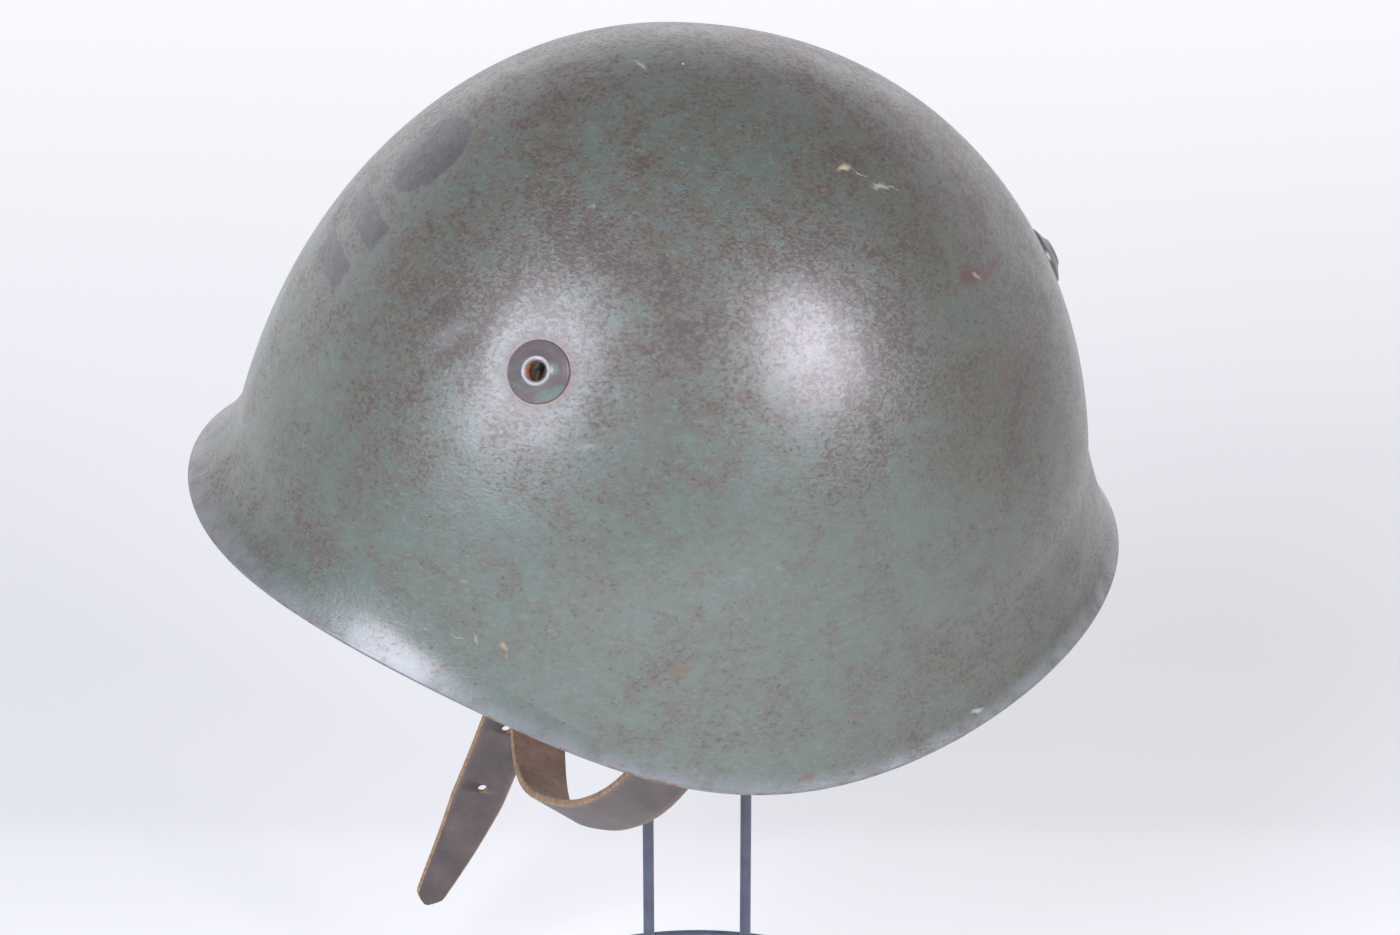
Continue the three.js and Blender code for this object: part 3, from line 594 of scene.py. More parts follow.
def stencil_mask(tree, where, wander):
    """A plain faded stencil on the front: a disc over two bars."""
    place = surface_frame(0.0, STENCIL_HEIGHT)
    local = add(tree, "ShaderNodeMapping", {
        "Vector": wander, "Location": place.to_translation(), "Rotation": place.to_euler()},
        vector_type="TEXTURE")
    flat = add(tree, "ShaderNodeSeparateXYZ", {"Vector": local})
    aside = add(tree, "ShaderNodeMath", {0: flat.outputs["X"]}, operation="ABSOLUTE")
    front_only = add(tree, "ShaderNodeMapRange", {
        "Value": flat.outputs["Z"], "From Min": -60 * MM, "From Max": -40 * MM})
    centre = add(tree, "ShaderNodeVectorMath", {
        0: local, 1: (1.0, 1.0, 0.0)}, operation="MULTIPLY")
    away = add(tree, "ShaderNodeVectorMath", {
        0: centre, 1: (0.0, STENCIL_DISC["up"] * MM, 0.0)}, operation="DISTANCE").outputs["Value"]
    mask = add(tree, "ShaderNodeMapRange", {
        "Value": away, "From Min": (STENCIL_DISC["radius"] + STENCIL_BLUR) * MM,
        "From Max": (STENCIL_DISC["radius"] - STENCIL_BLUR) * MM})
    for bar in STENCIL_BARS:
        above = add(tree, "ShaderNodeMath", {0: flat.outputs["Y"], 1: bar["up"] * MM}, operation="SUBTRACT")
        above = add(tree, "ShaderNodeMath", {0: above}, operation="ABSOLUTE")
        half_tall, half_wide = bar["tall"] / 2, bar["wide"] / 2
        tall = add(tree, "ShaderNodeMapRange", {
            "Value": above, "From Min": (half_tall + STENCIL_BLUR) * MM,
            "From Max": (half_tall - STENCIL_BLUR) * MM})
        wide = add(tree, "ShaderNodeMapRange", {
            "Value": aside, "From Min": (half_wide + STENCIL_BLUR) * MM,
            "From Max": (half_wide - STENCIL_BLUR) * MM})
        both = add(tree, "ShaderNodeMath", {0: tall, 1: wide}, operation="MULTIPLY")
        mask = add(tree, "ShaderNodeMath", {0: mask, 1: both}, operation="MAXIMUM")
    fade = add(tree, "ShaderNodeTexNoise", {
        "Vector": where, "Scale": per_metre(7), "Detail": 6.0, "Roughness": 0.75})
    worn = add(tree, "ShaderNodeMapRange", {
        "Value": fade, "From Min": 0.32, "From Max": 0.5, "To Min": 0.35, "To Max": 0.95})
    shown = add(tree, "ShaderNodeMath", {0: mask, 1: worn}, operation="MULTIPLY")
    return add(tree, "ShaderNodeMath", {0: shown, 1: front_only}, operation="MULTIPLY")


def mottled(name, size, detail, roughness, ramp, relief=None, **values):
    """A material coloured by one noise of a size in millimetres, and raised by a strength and a depth."""
    made, tree, shader = new_material(name)
    where = add(tree, "ShaderNodeTexCoord").outputs["Object"]
    noise = add(tree, "ShaderNodeTexNoise", {
        "Vector": where, "Scale": per_metre(size), "Detail": detail, "Roughness": roughness})
    set_inputs(tree, shader, {"Base Color": add(tree, "ShaderNodeValToRGB", {"Fac": noise}, ramp=ramp)})
    if relief:
        set_inputs(tree, shader, {"Normal": add(tree, "ShaderNodeBump", {
            "Height": noise, "Strength": relief[0], "Distance": relief[1] * MM})})
    set_inputs(tree, shader, values)
    return made


def inside_paint():
    """The same paint inside, thinner and stained by handling and rust."""
    return mottled("inside_helmet_paint", 22, 8.0, 0.7, (
        (0.3, "#68746f"), (0.5, "#5f6762"), (0.62, "#5c564d"), (0.75, "#5f4634")),
        (0.4, 0.2), Roughness=0.55)


def cut_rim():
    """Sheared edge of the steel, rubbed bright in places."""
    return mottled("sheared_steel_edge", 9, 6.0, 0.7, (
        (0.36, "#5d6763"), (0.5, "#74777a"), (0.62, "#6a5446")), Roughness=0.42, Metallic=0.3)


def rust():
    """Dry orange-brown rust, matt and rough."""
    return mottled("dry_orange_rust", 1.6, 5.0, 0.7, (
        (0.3, "#5c4334"), (0.55, "#9a6a41"), (0.75, "#b58656")), (0.6, 0.15), Roughness=0.85)


def cut_leather():
    """Cut edge of the leather: tan, with the layers of fibre showing."""
    return mottled("cut_leather_edge", 1.8, 6.0, 0.7, (
        (0.35, "#6e5742"), (0.55, "#94795c"), (0.72, "#ae9474")), (0.5, 0.12), Roughness=0.75)


def stand_enamel():
    """Dark slate paint on the drawn wire of the stand: even, satin, with faint drawing marks."""
    return mottled("slate_wire_enamel", 6, 4.0, 0.6, (
        (0.35, "#3d4450"), (0.65, "#4a5160")), (0.25, 0.1), Roughness=0.38)


def vent_paint():
    """Paint on the vent rivets, rubbed in patches to a mauve-brown primer."""
    made, tree, shader = new_material("worn_vent_paint")
    where = add(tree, "ShaderNodeTexCoord").outputs["Object"]
    wear = add(tree, "ShaderNodeTexNoise", {
        "Vector": where, "Scale": per_metre(7), "Detail": 7.0, "Roughness": 0.7, "Distortion": 0.6})
    colour = add(tree, "ShaderNodeValToRGB", {"Fac": wear}, ramp=(
        (0.36, "#5a6963"), (0.46, "#58605c"), (0.54, "#554e4e"), (0.62, "#5a5150"), (0.74, "#646a65")))
    rubbed = add(tree, "ShaderNodeAttribute", attribute_name="rubbed").outputs["Fac"]
    bare = add(tree, "ShaderNodeMapRange", {
        "Value": wear, "From Min": 0.36, "From Max": 0.6, "To Min": 0.1, "To Max": 0.9})
    share = add(tree, "ShaderNodeMath", {0: rubbed, 1: bare}, operation="MULTIPLY")
    bright = layered(tree, colour, [("#96979a", share, "MIX")])
    fine = add(tree, "ShaderNodeTexNoise", {
        "Vector": where, "Scale": per_metre(1.0), "Detail": 4.0, "Roughness": 0.6})
    bump = add(tree, "ShaderNodeBump", {"Height": fine, "Strength": 0.35, "Distance": 0.08 * MM})
    rough = add(tree, "ShaderNodeMapRange", {
        "Value": wear, "From Min": 0.4, "From Max": 0.6, "To Min": 0.27, "To Max": 0.36})
    set_inputs(tree, shader, {"Base Color": bright, "Normal": bump, "Roughness": rough})
    return made


def grain_leather():
    """Grain side of vegetable-tanned leather: dark with age, pebbled, creased across, with a dull sheen."""
    made, tree, shader = new_material("aged_leather_grain_side")
    uv = add(tree, "ShaderNodeUVMap", uv_map="strap")
    blotch = add(tree, "ShaderNodeTexNoise", {
        "Vector": uv, "Scale": per_metre(14), "Detail": 6.0, "Roughness": 0.65})
    colour = add(tree, "ShaderNodeValToRGB", {"Fac": blotch}, ramp=(
        (0.3, "#433d3d"), (0.5, "#534b49"), (0.66, "#625650"), (0.8, "#766151")))
    across = add(tree, "ShaderNodeSeparateXYZ", {"Vector": uv})
    from_middle = add(tree, "ShaderNodeMath", {0: across.outputs["Y"]}, operation="ABSOLUTE")
    scuffed = add(tree, "ShaderNodeMapRange", {
        "Value": from_middle, "From Min": (STRAP_WIDTH / 2 - 2.2) * MM,
        "From Max": (STRAP_WIDTH / 2 - 0.2) * MM, "To Max": 0.5})
    colour = layered(tree, colour, [("#7f6b58", scuffed, "MIX")])
    # Pebbles of the hide, drawn at 0.9 mm because the real ones of 0.4 mm wouldn't show
    pebbles = add(tree, "ShaderNodeTexVoronoi", {
        "Vector": uv, "Scale": per_metre(0.9)}, feature="SMOOTH_F1")
    creases = add(tree, "ShaderNodeTexNoise", {
        "Vector": add(tree, "ShaderNodeMapping", {"Vector": uv, "Scale": (1.0, 0.22, 1.0)}),
        "Scale": per_metre(1.6), "Detail": 4.0, "Roughness": 0.6})
    relief = add(tree, "ShaderNodeMath", {0: creases, 1: 1.2, 2: pebbles}, operation="MULTIPLY_ADD")
    bump = add(tree, "ShaderNodeBump", {"Height": relief, "Strength": 0.45, "Distance": 0.14 * MM})
    set_inputs(tree, shader, {"Base Color": colour, "Normal": bump, "Roughness": 0.56})
    return made


def flesh_leather():
    """Flesh side of the leather: matt, fibrous and a warmer brown."""
    made, tree, shader = new_material("aged_leather_flesh_side")
    uv = add(tree, "ShaderNodeUVMap", uv_map="strap")
    fibres = add(tree, "ShaderNodeTexNoise", {
        "Vector": add(tree, "ShaderNodeMapping", {"Vector": uv, "Scale": (0.4, 1.0, 1.0)}),
        "Scale": per_metre(1.2), "Detail": 6.0, "Roughness": 0.7})
    blotch = add(tree, "ShaderNodeTexNoise", {
        "Vector": uv, "Scale": per_metre(16), "Detail": 5.0, "Roughness": 0.6})
    both = add(tree, "ShaderNodeMath", {0: fibres, 1: 0.5, 2: blotch}, operation="MULTIPLY_ADD")
    colour = add(tree, "ShaderNodeValToRGB", {"Fac": both}, ramp=(
        (0.55, "#7d6455"), (0.75, "#957a68"), (0.92, "#a88c77")))
    bump = add(tree, "ShaderNodeBump", {"Height": fibres, "Strength": 0.5, "Distance": 0.12 * MM})
    set_inputs(tree, shader, {"Base Color": colour, "Normal": bump, "Roughness": 0.82})
    return made


def dull_steel():
    """Stamped steel and wire gone dull, with a light rust bloom."""
    made, tree, shader = new_material("dull_rolled_steel")
    where = add(tree, "ShaderNodeTexCoord").outputs["Object"]
    bloom = add(tree, "ShaderNodeTexNoise", {
        "Vector": where, "Scale": per_metre(8), "Detail": 7.0, "Roughness": 0.7})
    colour = add(tree, "ShaderNodeValToRGB", {"Fac": bloom}, ramp=(
        (0.35, "#8c8e90"), (0.55, "#77777a"), (0.7, "#6d523f")))
    metal = add(tree, "ShaderNodeMapRange", {
        "Value": bloom, "From Min": 0.56, "From Max": 0.68, "To Min": 1.0, "To Max": 0.2})
    rough = add(tree, "ShaderNodeMapRange", {
        "Value": bloom, "From Min": 0.35, "From Max": 0.7, "To Min": 0.36, "To Max": 0.7})
    set_inputs(tree, shader, {"Base Color": colour, "Metallic": metal, "Roughness": rough})
    return made


# Geometry Nodes: round wire along a path, holes punched through, rivets set on their places

def wire_tree():
    """Tree for round wire that follows a line of edges."""
    tree, given = new_tree("round_wire", {
        "Diameter": "NodeSocketFloat", "Sides": "NodeSocketInt", "Finish": "NodeSocketMaterial"})
    path = add(tree, "GeometryNodeMeshToCurve", {"Mesh": given["Geometry"]})
    radius = add(tree, "ShaderNodeMath", {0: given["Diameter"], 1: 0.5}, operation="MULTIPLY")
    section = add(tree, "GeometryNodeCurvePrimitiveCircle", {
        "Resolution": given["Sides"], "Radius": radius})
    tube = add(tree, "GeometryNodeCurveToMesh", {
        "Curve": path, "Profile Curve": section, "Fill Caps": True})
    smooth = add(tree, "GeometryNodeSetShadeSmooth", {0: tube})
    whole = add(tree, "GeometryNodeRealizeInstances", {0: smooth})
    finished = add(tree, "GeometryNodeSetMaterial", {"Geometry": whole, "Material": given["Finish"]})
    add(tree, "NodeGroupOutput", {0: finished})
    return tree


def set_on(tree, places, thing):
    """Sets a thing on each place, its Z along the place's direction out."""
    out = add(tree, "GeometryNodeInputNamedAttribute", {"Name": "out"}, data_type="FLOAT_VECTOR")
    facing = add(tree, "FunctionNodeAlignRotationToVector", {"Vector": out}, axis="Z")
    set_in = add(tree, "GeometryNodeInstanceOnPoints", {
        "Points": places, "Instance": thing, "Rotation": facing})
    return add(tree, "GeometryNodeRealizeInstances", {0: set_in})


def punch_tree():
    """Tree that punches a round hole at each place."""
    tree, given = new_tree("punched_holes", {
        "Places": "NodeSocketObject", "Radius": "NodeSocketFloat", "Depth": "NodeSocketFloat",
        "Hole finish": "NodeSocketMaterial"})
    places = add(tree, "GeometryNodeObjectInfo", {"Object": given["Places"]}).outputs["Geometry"]
    punch = add(tree, "GeometryNodeMeshCylinder", {
        "Vertices": 40, "Radius": given["Radius"], "Depth": given["Depth"]})
    marked = add(tree, "GeometryNodeStoreNamedAttribute", {
        "Geometry": punch.outputs["Mesh"], "Name": "punched", "Value": True},
        data_type="BOOLEAN", domain="FACE")
    punches = set_on(tree, places, marked)
    cut = add(tree, "GeometryNodeMeshBoolean", {"Mesh 1": given["Geometry"], "Mesh 2": punches},
              operation="DIFFERENCE", solver="EXACT")
    whole = add(tree, "GeometryNodeRealizeInstances", {0: cut.outputs["Mesh"]})
    walls = add(tree, "GeometryNodeInputNamedAttribute", {"Name": "punched"}, data_type="BOOLEAN")
    finished = add(tree, "GeometryNodeSetMaterial", {
        "Geometry": whole, "Selection": walls, "Material": given["Hole finish"]})
    add(tree, "NodeGroupOutput", {0: finished})
    return tree


def rivet_tree():
    """Tree that sets a rivet on each place."""
    tree, given = new_tree("rivets_on_places", {
        "Rivet": "NodeSocketObject", "Finish": "NodeSocketMaterial", "Rust": "NodeSocketMaterial"})
    rivet = add(tree, "GeometryNodeObjectInfo", {"Object": given["Rivet"]}).outputs["Geometry"]
    whole = set_on(tree, given["Geometry"], rivet)
    painted = add(tree, "GeometryNodeSetMaterial", {"Geometry": whole, "Material": given["Finish"]})
    rusted = add(tree, "GeometryNodeInputNamedAttribute", {"Name": "rusted"}, data_type="BOOLEAN")
    finished = add(tree, "GeometryNodeSetMaterial", {
        "Geometry": painted, "Selection": rusted, "Material": given["Rust"]})
    add(tree, "NodeGroupOutput", {0: finished})
    return tree


def places_object(name, points, outs):
    """Points in millimetres, each with a direction out, for a tree to set things on."""
    made = new_object(name, points)
    layer = made.data.attributes.new("out", "FLOAT_VECTOR", "POINT")
    layer.data.foreach_set("vector", np.asarray(outs, np.float32).ravel())
    return made


def vent_places(name, vents):
    """Places of some of the vents, each with its direction out of the shell."""
    frames = [surface_frame(vent["turn"], vent["height"]) for vent in vents]
    return places_object(name, [place.to_translation() / MM for place in frames],
                         [place.col[2][:3] for place in frames])


def drop(thing):
    """Removes an object that only a tree needed."""
    bpy.data.objects.remove(thing, do_unlink=True)


# Sweeps

def sweep(at, across, sections, closed=False):
    """Rings of points: a section of [across, through] offsets set square to the route at each station."""
    at = np.asarray(at, float)
    if closed:
        along = np.roll(at, -1, 0) - np.roll(at, 1, 0)
    else:
        along = np.gradient(at, axis=0)
    along = unit(along)
    across = unit(across - along * np.sum(across * along, -1, keepdims=True))
    through = np.cross(along, across)
    sections = np.broadcast_to(np.asarray(sections, float), (len(at),) + np.shape(sections)[-2:])
    points = at[:, None] + sections[..., :1] * across[:, None] + sections[..., 1:] * through[:, None]
    count, sides = sections.shape[:2]
    faces = []
    for ring in range(count if closed else count - 1):
        here, there = ring * sides, (ring + 1) % count * sides
        for side in range(sides):
            turn = (side + 1) % sides
            faces.append((here + side, here + turn, there + turn, there + side))
    if not closed:
        last = (count - 1) * sides
        faces.append(tuple(range(sides))[::-1])
        faces.append(tuple(last + side for side in range(sides)))
    return points.reshape(-1, 3), faces


# Shell

def shell_piece():
    """The steel shell: outer skin, rounded cut rim and inner skin, with holes for the vent rivets."""
    columns, outer_rows, inner_rows, edge_rows = 360, 150, 60, 5
    bunching = 1.35
    turns = np.linspace(0, 2 * math.pi, columns, endpoint=False)
    foot = rim_height(turns) + WALL * 0.4
    rings, kinds = [], []
    for rows, depth, order in ((outer_rows, 0.0, 1), (inner_rows, WALL, -1)):
        skin = []
        for row in range(rows):
            climb = math.sin((row / rows) ** bunching * math.pi / 2)
            skin.append(in_shell(turns, foot + (CROWN_HEIGHT - foot) * climb, depth))
        skin = skin[::-1] if order > 0 else skin
        if order < 0:
            down = unit(shell_point(turns, foot) - shell_point(turns, foot + 1.0))
            out = shell_normal(turns, foot)
            for step in range(1, edge_rows + 1):
                angle = step / (edge_rows + 1) * math.pi
                rings.append(shell_point(turns, foot) - out * (WALL / 2 * (1 - math.cos(angle)))
                             + down * (WALL / 2 * math.sin(angle)))
                kinds.append("edge")
        rings += skin
        kinds += ["outer" if order > 0 else "inner"] * rows
    points = np.concatenate(rings)
    top = np.array([[0, -CROWN_SHIFT, CROWN_HEIGHT], [0, -CROWN_SHIFT, CROWN_HEIGHT - WALL]])
    points = placed(np.concatenate([points, top]))
    outer_pole, inner_pole = len(points) - 2, len(points) - 1
    faces, slots = [], []
    here = np.arange(columns)
    after = (here + 1) % columns
    faces += list(zip(here.tolist(), after.tolist(), [outer_pole] * columns))
    slots += [0] * columns
    for ring in range(len(rings) - 1):
        low, high = (ring + 1) * columns, ring * columns
        kind = {"outer": 0, "edge": 1, "inner": 2}[kinds[ring + 1]]
        faces += list(zip((low + here).tolist(), (low + after).tolist(), (high + after).tolist(),
                          (high + here).tolist()))
        slots += [kind] * columns
    last = (len(rings) - 1) * columns
    faces += list(zip((last + after).tolist(), (last + here).tolist(), [inner_pole] * columns))
    slots += [2] * columns
    piece = new_piece("shell", points, faces, [helmet_paint(), cut_rim(), inside_paint()], slots)
    above = np.array([np.asarray(ring)[:, 2] - rim_height(turns) for ring in rings]).ravel() * MM
    above = np.append(above, [CROWN_HEIGHT * MM] * 2).astype(np.float32)
    piece.data.attributes.new("above_rim", "FLOAT", "POINT").data.foreach_set("value", above)
    places = vent_places("vent_places", VENTS)
    grown(piece, punch, {"Places": places, "Radius": (VENT_SHANK + GAP) * MM, "Depth": 12 * WALL * MM,
                         "Hole finish": rusty})
    drop(places)
    return piece


# Vent rivets

def rivet_piece(flange):
    """One hollow rivet, lathed about Z, its inner flange at a depth: painted outside, rusty in its hole."""
    turns = 96
    lip_top = VENT_HEAD_RISE + VENT_LIP_RISE
    # Radius and height of each corner, and whether rust lies before it
    profile = (
        (VENT_HEAD - 0.9, -1.2, True),
        (VENT_HEAD + 0.12, -1.1, True),
        (VENT_HEAD + 0.16, -0.1, True),
        (VENT_HEAD + 0.02, 0.15, False),
        (VENT_HEAD, 0.55, False),
        (VENT_HEAD - 0.12, 0.8, False),
        (VENT_HEAD - 0.4, 0.98, False),
        (VENT_HEAD - 0.9, 1.12, False),
        (7.6, 1.34, False),
        (6.9, 1.58, False),
        (6.2, 1.86, False),
        (5.6, 2.16, False),
        (5.1, 2.42, False),
        (4.75, 2.62, False),
        (4.5, 2.78, False),
        (4.3, 2.98, False),
        (VENT_LIP, lip_top + 0.08, False),
        (3.7, lip_top + 0.16, False),
        (3.4, lip_top + 0.1, False),
        (VENT_HOLE + 0.1, lip_top - 0.12, False),
        (VENT_HOLE, lip_top - 0.5, True),
        (VENT_HOLE, 0.6, True),
        (VENT_HOLE, -1.0, True),
        (VENT_HOLE + 0.05, flange + 0.4, True),
        (VENT_HOLE + 0.2, flange - 0.4, True),
        (VENT_HOLE + 0.6, flange - 0.8, True),
        (VENT_FLANGE - 0.4, flange - 0.8, False),
        (VENT_FLANGE, flange - 0.6, False),
        (VENT_FLANGE, flange - 0.25, False),
        (VENT_FLANGE - 0.3, flange, False),
        (VENT_SHANK, flange, False),
        (VENT_SHANK, -1.25, False),
    )
    angles = np.linspace(0, 2 * math.pi, turns, endpoint=False)
    points, faces, rusted = [], [], []
    for radius, height, _ in profile:
        points += [(radius * math.cos(angle), radius * math.sin(angle), height) for angle in angles]
    for row in range(len(profile)):
        following = (row + 1) % len(profile)
        for turn in range(turns):
            after = (turn + 1) % turns
            faces.append((row * turns + turn, row * turns + after, following * turns + after,
                          following * turns + turn))
            rusted.append(profile[following][2])
    piece = new_piece("one_vent_rivet", points, faces, [])
    piece.data.attributes.new("rusted", "BOOLEAN", "FACE").data.foreach_set("value", rusted)
    rubbed = [float(VENT_HOLE + 0.2 < radius < VENT_LIP + 0.2 and height > lip_top - 0.2)
              for radius, height, _ in profile for _ in range(turns)]
    piece.data.attributes.new("rubbed", "FLOAT", "POINT").data.foreach_set("value", rubbed)
    return piece


def vents_piece(name, vents, flange):
    """Rivets set in the shell at some of the vents."""
    one = rivet_piece(flange)
    piece = vent_places(name, vents)
    grown(piece, rivets_on, {"Rivet": one, "Finish": vent_finish, "Rust": rusty})
    drop(one)
    return piece


# Hangers' bars, for the strap

def hanger_bar(side):
    """Middle of the bar at a hanger's foot, with its directions down, out and along the bar."""
    step = 0.02

    def point(share):
        """Middle of the hanger's plate, a share of the way down it."""
        ease = math.sin(share * HANGER_BOW * math.pi) / math.sin(HANGER_BOW * math.pi)
        turn = side * (SIDE_VENT_TURN + (HANGER_TURN - SIDE_VENT_TURN) * ease)
        depth = HANGER_SEAT + (HANGER_STAND_OFF - HANGER_SEAT) * share ** 2
        return in_shell(turn, SIDE_VENT_HEIGHT - HANGER_DROP * share, depth)

    along = unit(point(1.0) - point(1 - step))
    out = np.array([side, 0, 0]) - side * along[0] * along
    out = unit(out)
    across = np.cross(along, out) * -side
    at = placed(point(1.0) - along * HANGER_BAR / 2)
    return {"at": at, "along": turned(along), "out": turned(out), "across": turned(across)}


# Strap

def smooth_route(points, shares):
    """Centripetal curve through points, the same as the solids follow."""
    points = np.asarray(points, float)
    padded = np.vstack([2 * points[0] - points[1], points, 2 * points[-1] - points[-2]])
    place = np.clip(shares, 0, 1) * (len(points) - 1)
    first = np.minimum(place.astype(int), len(points) - 2)
    weight = (place - first)[:, None]
    p0, p1, p2, p3 = (padded[first + step] for step in range(4))
    spans = [np.linalg.norm(b - a, axis=1, keepdims=True) ** 0.5 for a, b in ((p0, p1), (p1, p2), (p2, p3))]
    s1 = np.where(spans[1] < 1e-4, 1.0, spans[1])
    s0 = np.where(spans[0] < 1e-4, s1, spans[0])
    s2 = np.where(spans[2] < 1e-4, s1, spans[2])
    t1 = ((p1 - p0) / s0 - (p2 - p0) / (s0 + s1) + (p2 - p1) / s1) * s1
    t2 = ((p2 - p1) / s1 - (p3 - p1) / (s1 + s2) + (p3 - p2) / s2) * s1
    return (p1 + t1 * weight + (-3 * p1 + 3 * p2 - 2 * t1 - t2) * weight ** 2
            + (2 * p1 - 2 * p2 + t1 + t2) * weight ** 3)


def stations(points, leans, steps):
    """Places, directions along, across and to the grain side, down a strap's middle line."""
    shares = np.linspace(0, 1, steps + 1)
    step = 1e-4
    at = smooth_route(points, shares)
    along = unit(smooth_route(points, shares + step) - smooth_route(points, shares - step))
    across = smooth_route(leans, shares)
    across = unit(across - along * np.sum(across * along, -1, keepdims=True))
    return {"at": at, "along": along, "across": across, "grain": np.cross(along, across)}


def fold_over(at, along, across, grain, radius, steps):
    """Half turn over a bar on the grain side."""
    centre = at + grain * radius
    angles = np.linspace(0, math.pi, steps + 1)[1:, None]
    line = centre - grain * radius * np.cos(angles) + along * radius * np.sin(angles)
    return centre, line, np.repeat(across[None], steps, 0)


FOLD_ON_HANGER = math.hypot(HANGER_BAR, HANGER_THICK) / 2 + GAP + STRAP_THICK / 2
FOLD_ON_BUCKLE = BUCKLE_WIRE / math.cos(math.pi / 8) / 2 + GAP + STRAP_THICK / 2


def strap_line():
    """Middle line of the loop, from the left hanger's bar to the buckle."""
    start = left_bar["at"] - left_bar["out"] * FOLD_ON_HANGER
    points = [start, start + left_bar["along"] * STRAP_LEAD]
    leans = [left_bar["across"]] * 2
    for row in STRAP_ROUTE:
        points.append((row["across"] * start[0], start[1] - row["fore"] * STRAP_DROP,
                       start[2] - row["down"] * STRAP_DROP))
        leans.append((row["out"], 1, -row["dip"]))
    return stations(points, leans, 240)


def ribbon_section(width, thick, corner):
    """Section of a strap: flat faces with rounded corners."""
    steps = 4
    corners = []
    for side, depth, start in ((1, -1, -90), (1, 1, 0), (-1, 1, 90), (-1, -1, 180)):
        for step in range(steps + 1):
            angle = math.radians(start + 90 * step / steps)
            corners.append((side * (width / 2 - corner) + corner * math.cos(angle),
                            depth * (thick / 2 - corner) + corner * math.sin(angle)))
    return corners


def ribbon(name, at, across, widths, closed=False):
    """A strap with its grain side towards +through, flesh side towards -through and cut edges."""
    sections = np.array([ribbon_section(width, STRAP_THICK, min(0.55, width / 4)) for width in widths])
    points, faces = sweep(at, across, sections, closed)
    sides = sections.shape[1]
    lengths = np.linalg.norm(np.diff(at, axis=0), axis=1)
    run = np.concatenate([[0], np.cumsum(lengths)])
    uv = np.stack([np.repeat(run, sides), sections[..., 0].ravel()], -1) * MM
    slots = edge_kinds(sides) * (len(at) if closed else len(at) - 1)
    if not closed:
        slots += [2, 2]
    return new_piece(name, points, faces, [grain_hide, flesh_hide, edge_hide], slots, uv)


def edge_kinds(sides):
    """Face kinds round a ribbon's section: the long faces are grain and flesh, the rest cut edge."""
    quarter = sides // 4
    kinds = [2] * sides
    kinds[2 * quarter - 1] = 0
    kinds[sides - 1] = 1
    return kinds


def tail_width(left):
    """Width of the free end at a length left to its tip, which tapers and is rounded off."""
    shoulder, fullness, bluntness = STRAP_TIP_WIDTH * 1.3, 0.8, 0.04
    taper = np.clip(left / STRAP_TAPER, 0, 1)
    rounding = np.sqrt(np.clip(left / (STRAP_TIP_WIDTH / 2), bluntness, 1))
    return (shoulder + (STRAP_WIDTH - shoulder) * taper ** fullness) * rounding


def chin_strap_piece():
    """The long strap: flap, fold on the hanger, loop, fold in the buckle and free end."""
    fold_steps, flap_clear = 20, 0.5
    first = {key: strap[key][0] for key in strap}
    # Flap folded over the hanger's bar and laid back on the strap
    distance = np.linalg.norm(strap["at"] - first["at"], axis=1)
    first_quarter = len(distance) // 4
    near = np.flatnonzero((distance < STRAP_FLAP) & (distance > flap_clear))
    near = near[near < first_quarter]
    share = (distance[near] / STRAP_FLAP)[:, None]
    closing = 2 * FOLD_ON_HANGER + (STRAP_THICK + 2 * GAP - 2 * FOLD_ON_HANGER) * share
    flap_at = strap["at"][near] + strap["grain"][near] * closing
    _, turn_at, turn_across = fold_over(
        first["at"], -first["along"], first["across"], first["grain"], FOLD_ON_HANGER, fold_steps)
    at = np.concatenate([flap_at[::-1], turn_at[::-1], strap["at"], buckle_turn_at, tail["at"][1:]])
    across = np.concatenate([strap["across"][near][::-1], turn_across, strap["across"],
                             buckle_turn_across, tail["across"][1:]])
    left = TAIL_LENGTH * (1 - np.arange(1, len(tail["at"])) / (len(tail["at"]) - 1))
    full = len(at) - len(left)
    widths = np.concatenate([np.full(full, STRAP_WIDTH), tail_width(left)])
    piece = ribbon("leather_chin_strap", at, across, widths)
    spots = [np.argmin(np.abs(left - FIRST_HOLE)), np.argmin(np.abs(left - FIRST_HOLE - HOLE_PITCH))]
    spots = [spot + 1 for spot in spots]
    places = places_object("hole_places", tail["at"][spots], tail["grain"][spots])
    grown(piece, punch, {"Places": places, "Radius": HOLE_RADIUS * MM, "Depth": 3 * STRAP_THICK * MM,
                         "Hole finish": edge_hide})
    drop(places)
    return piece


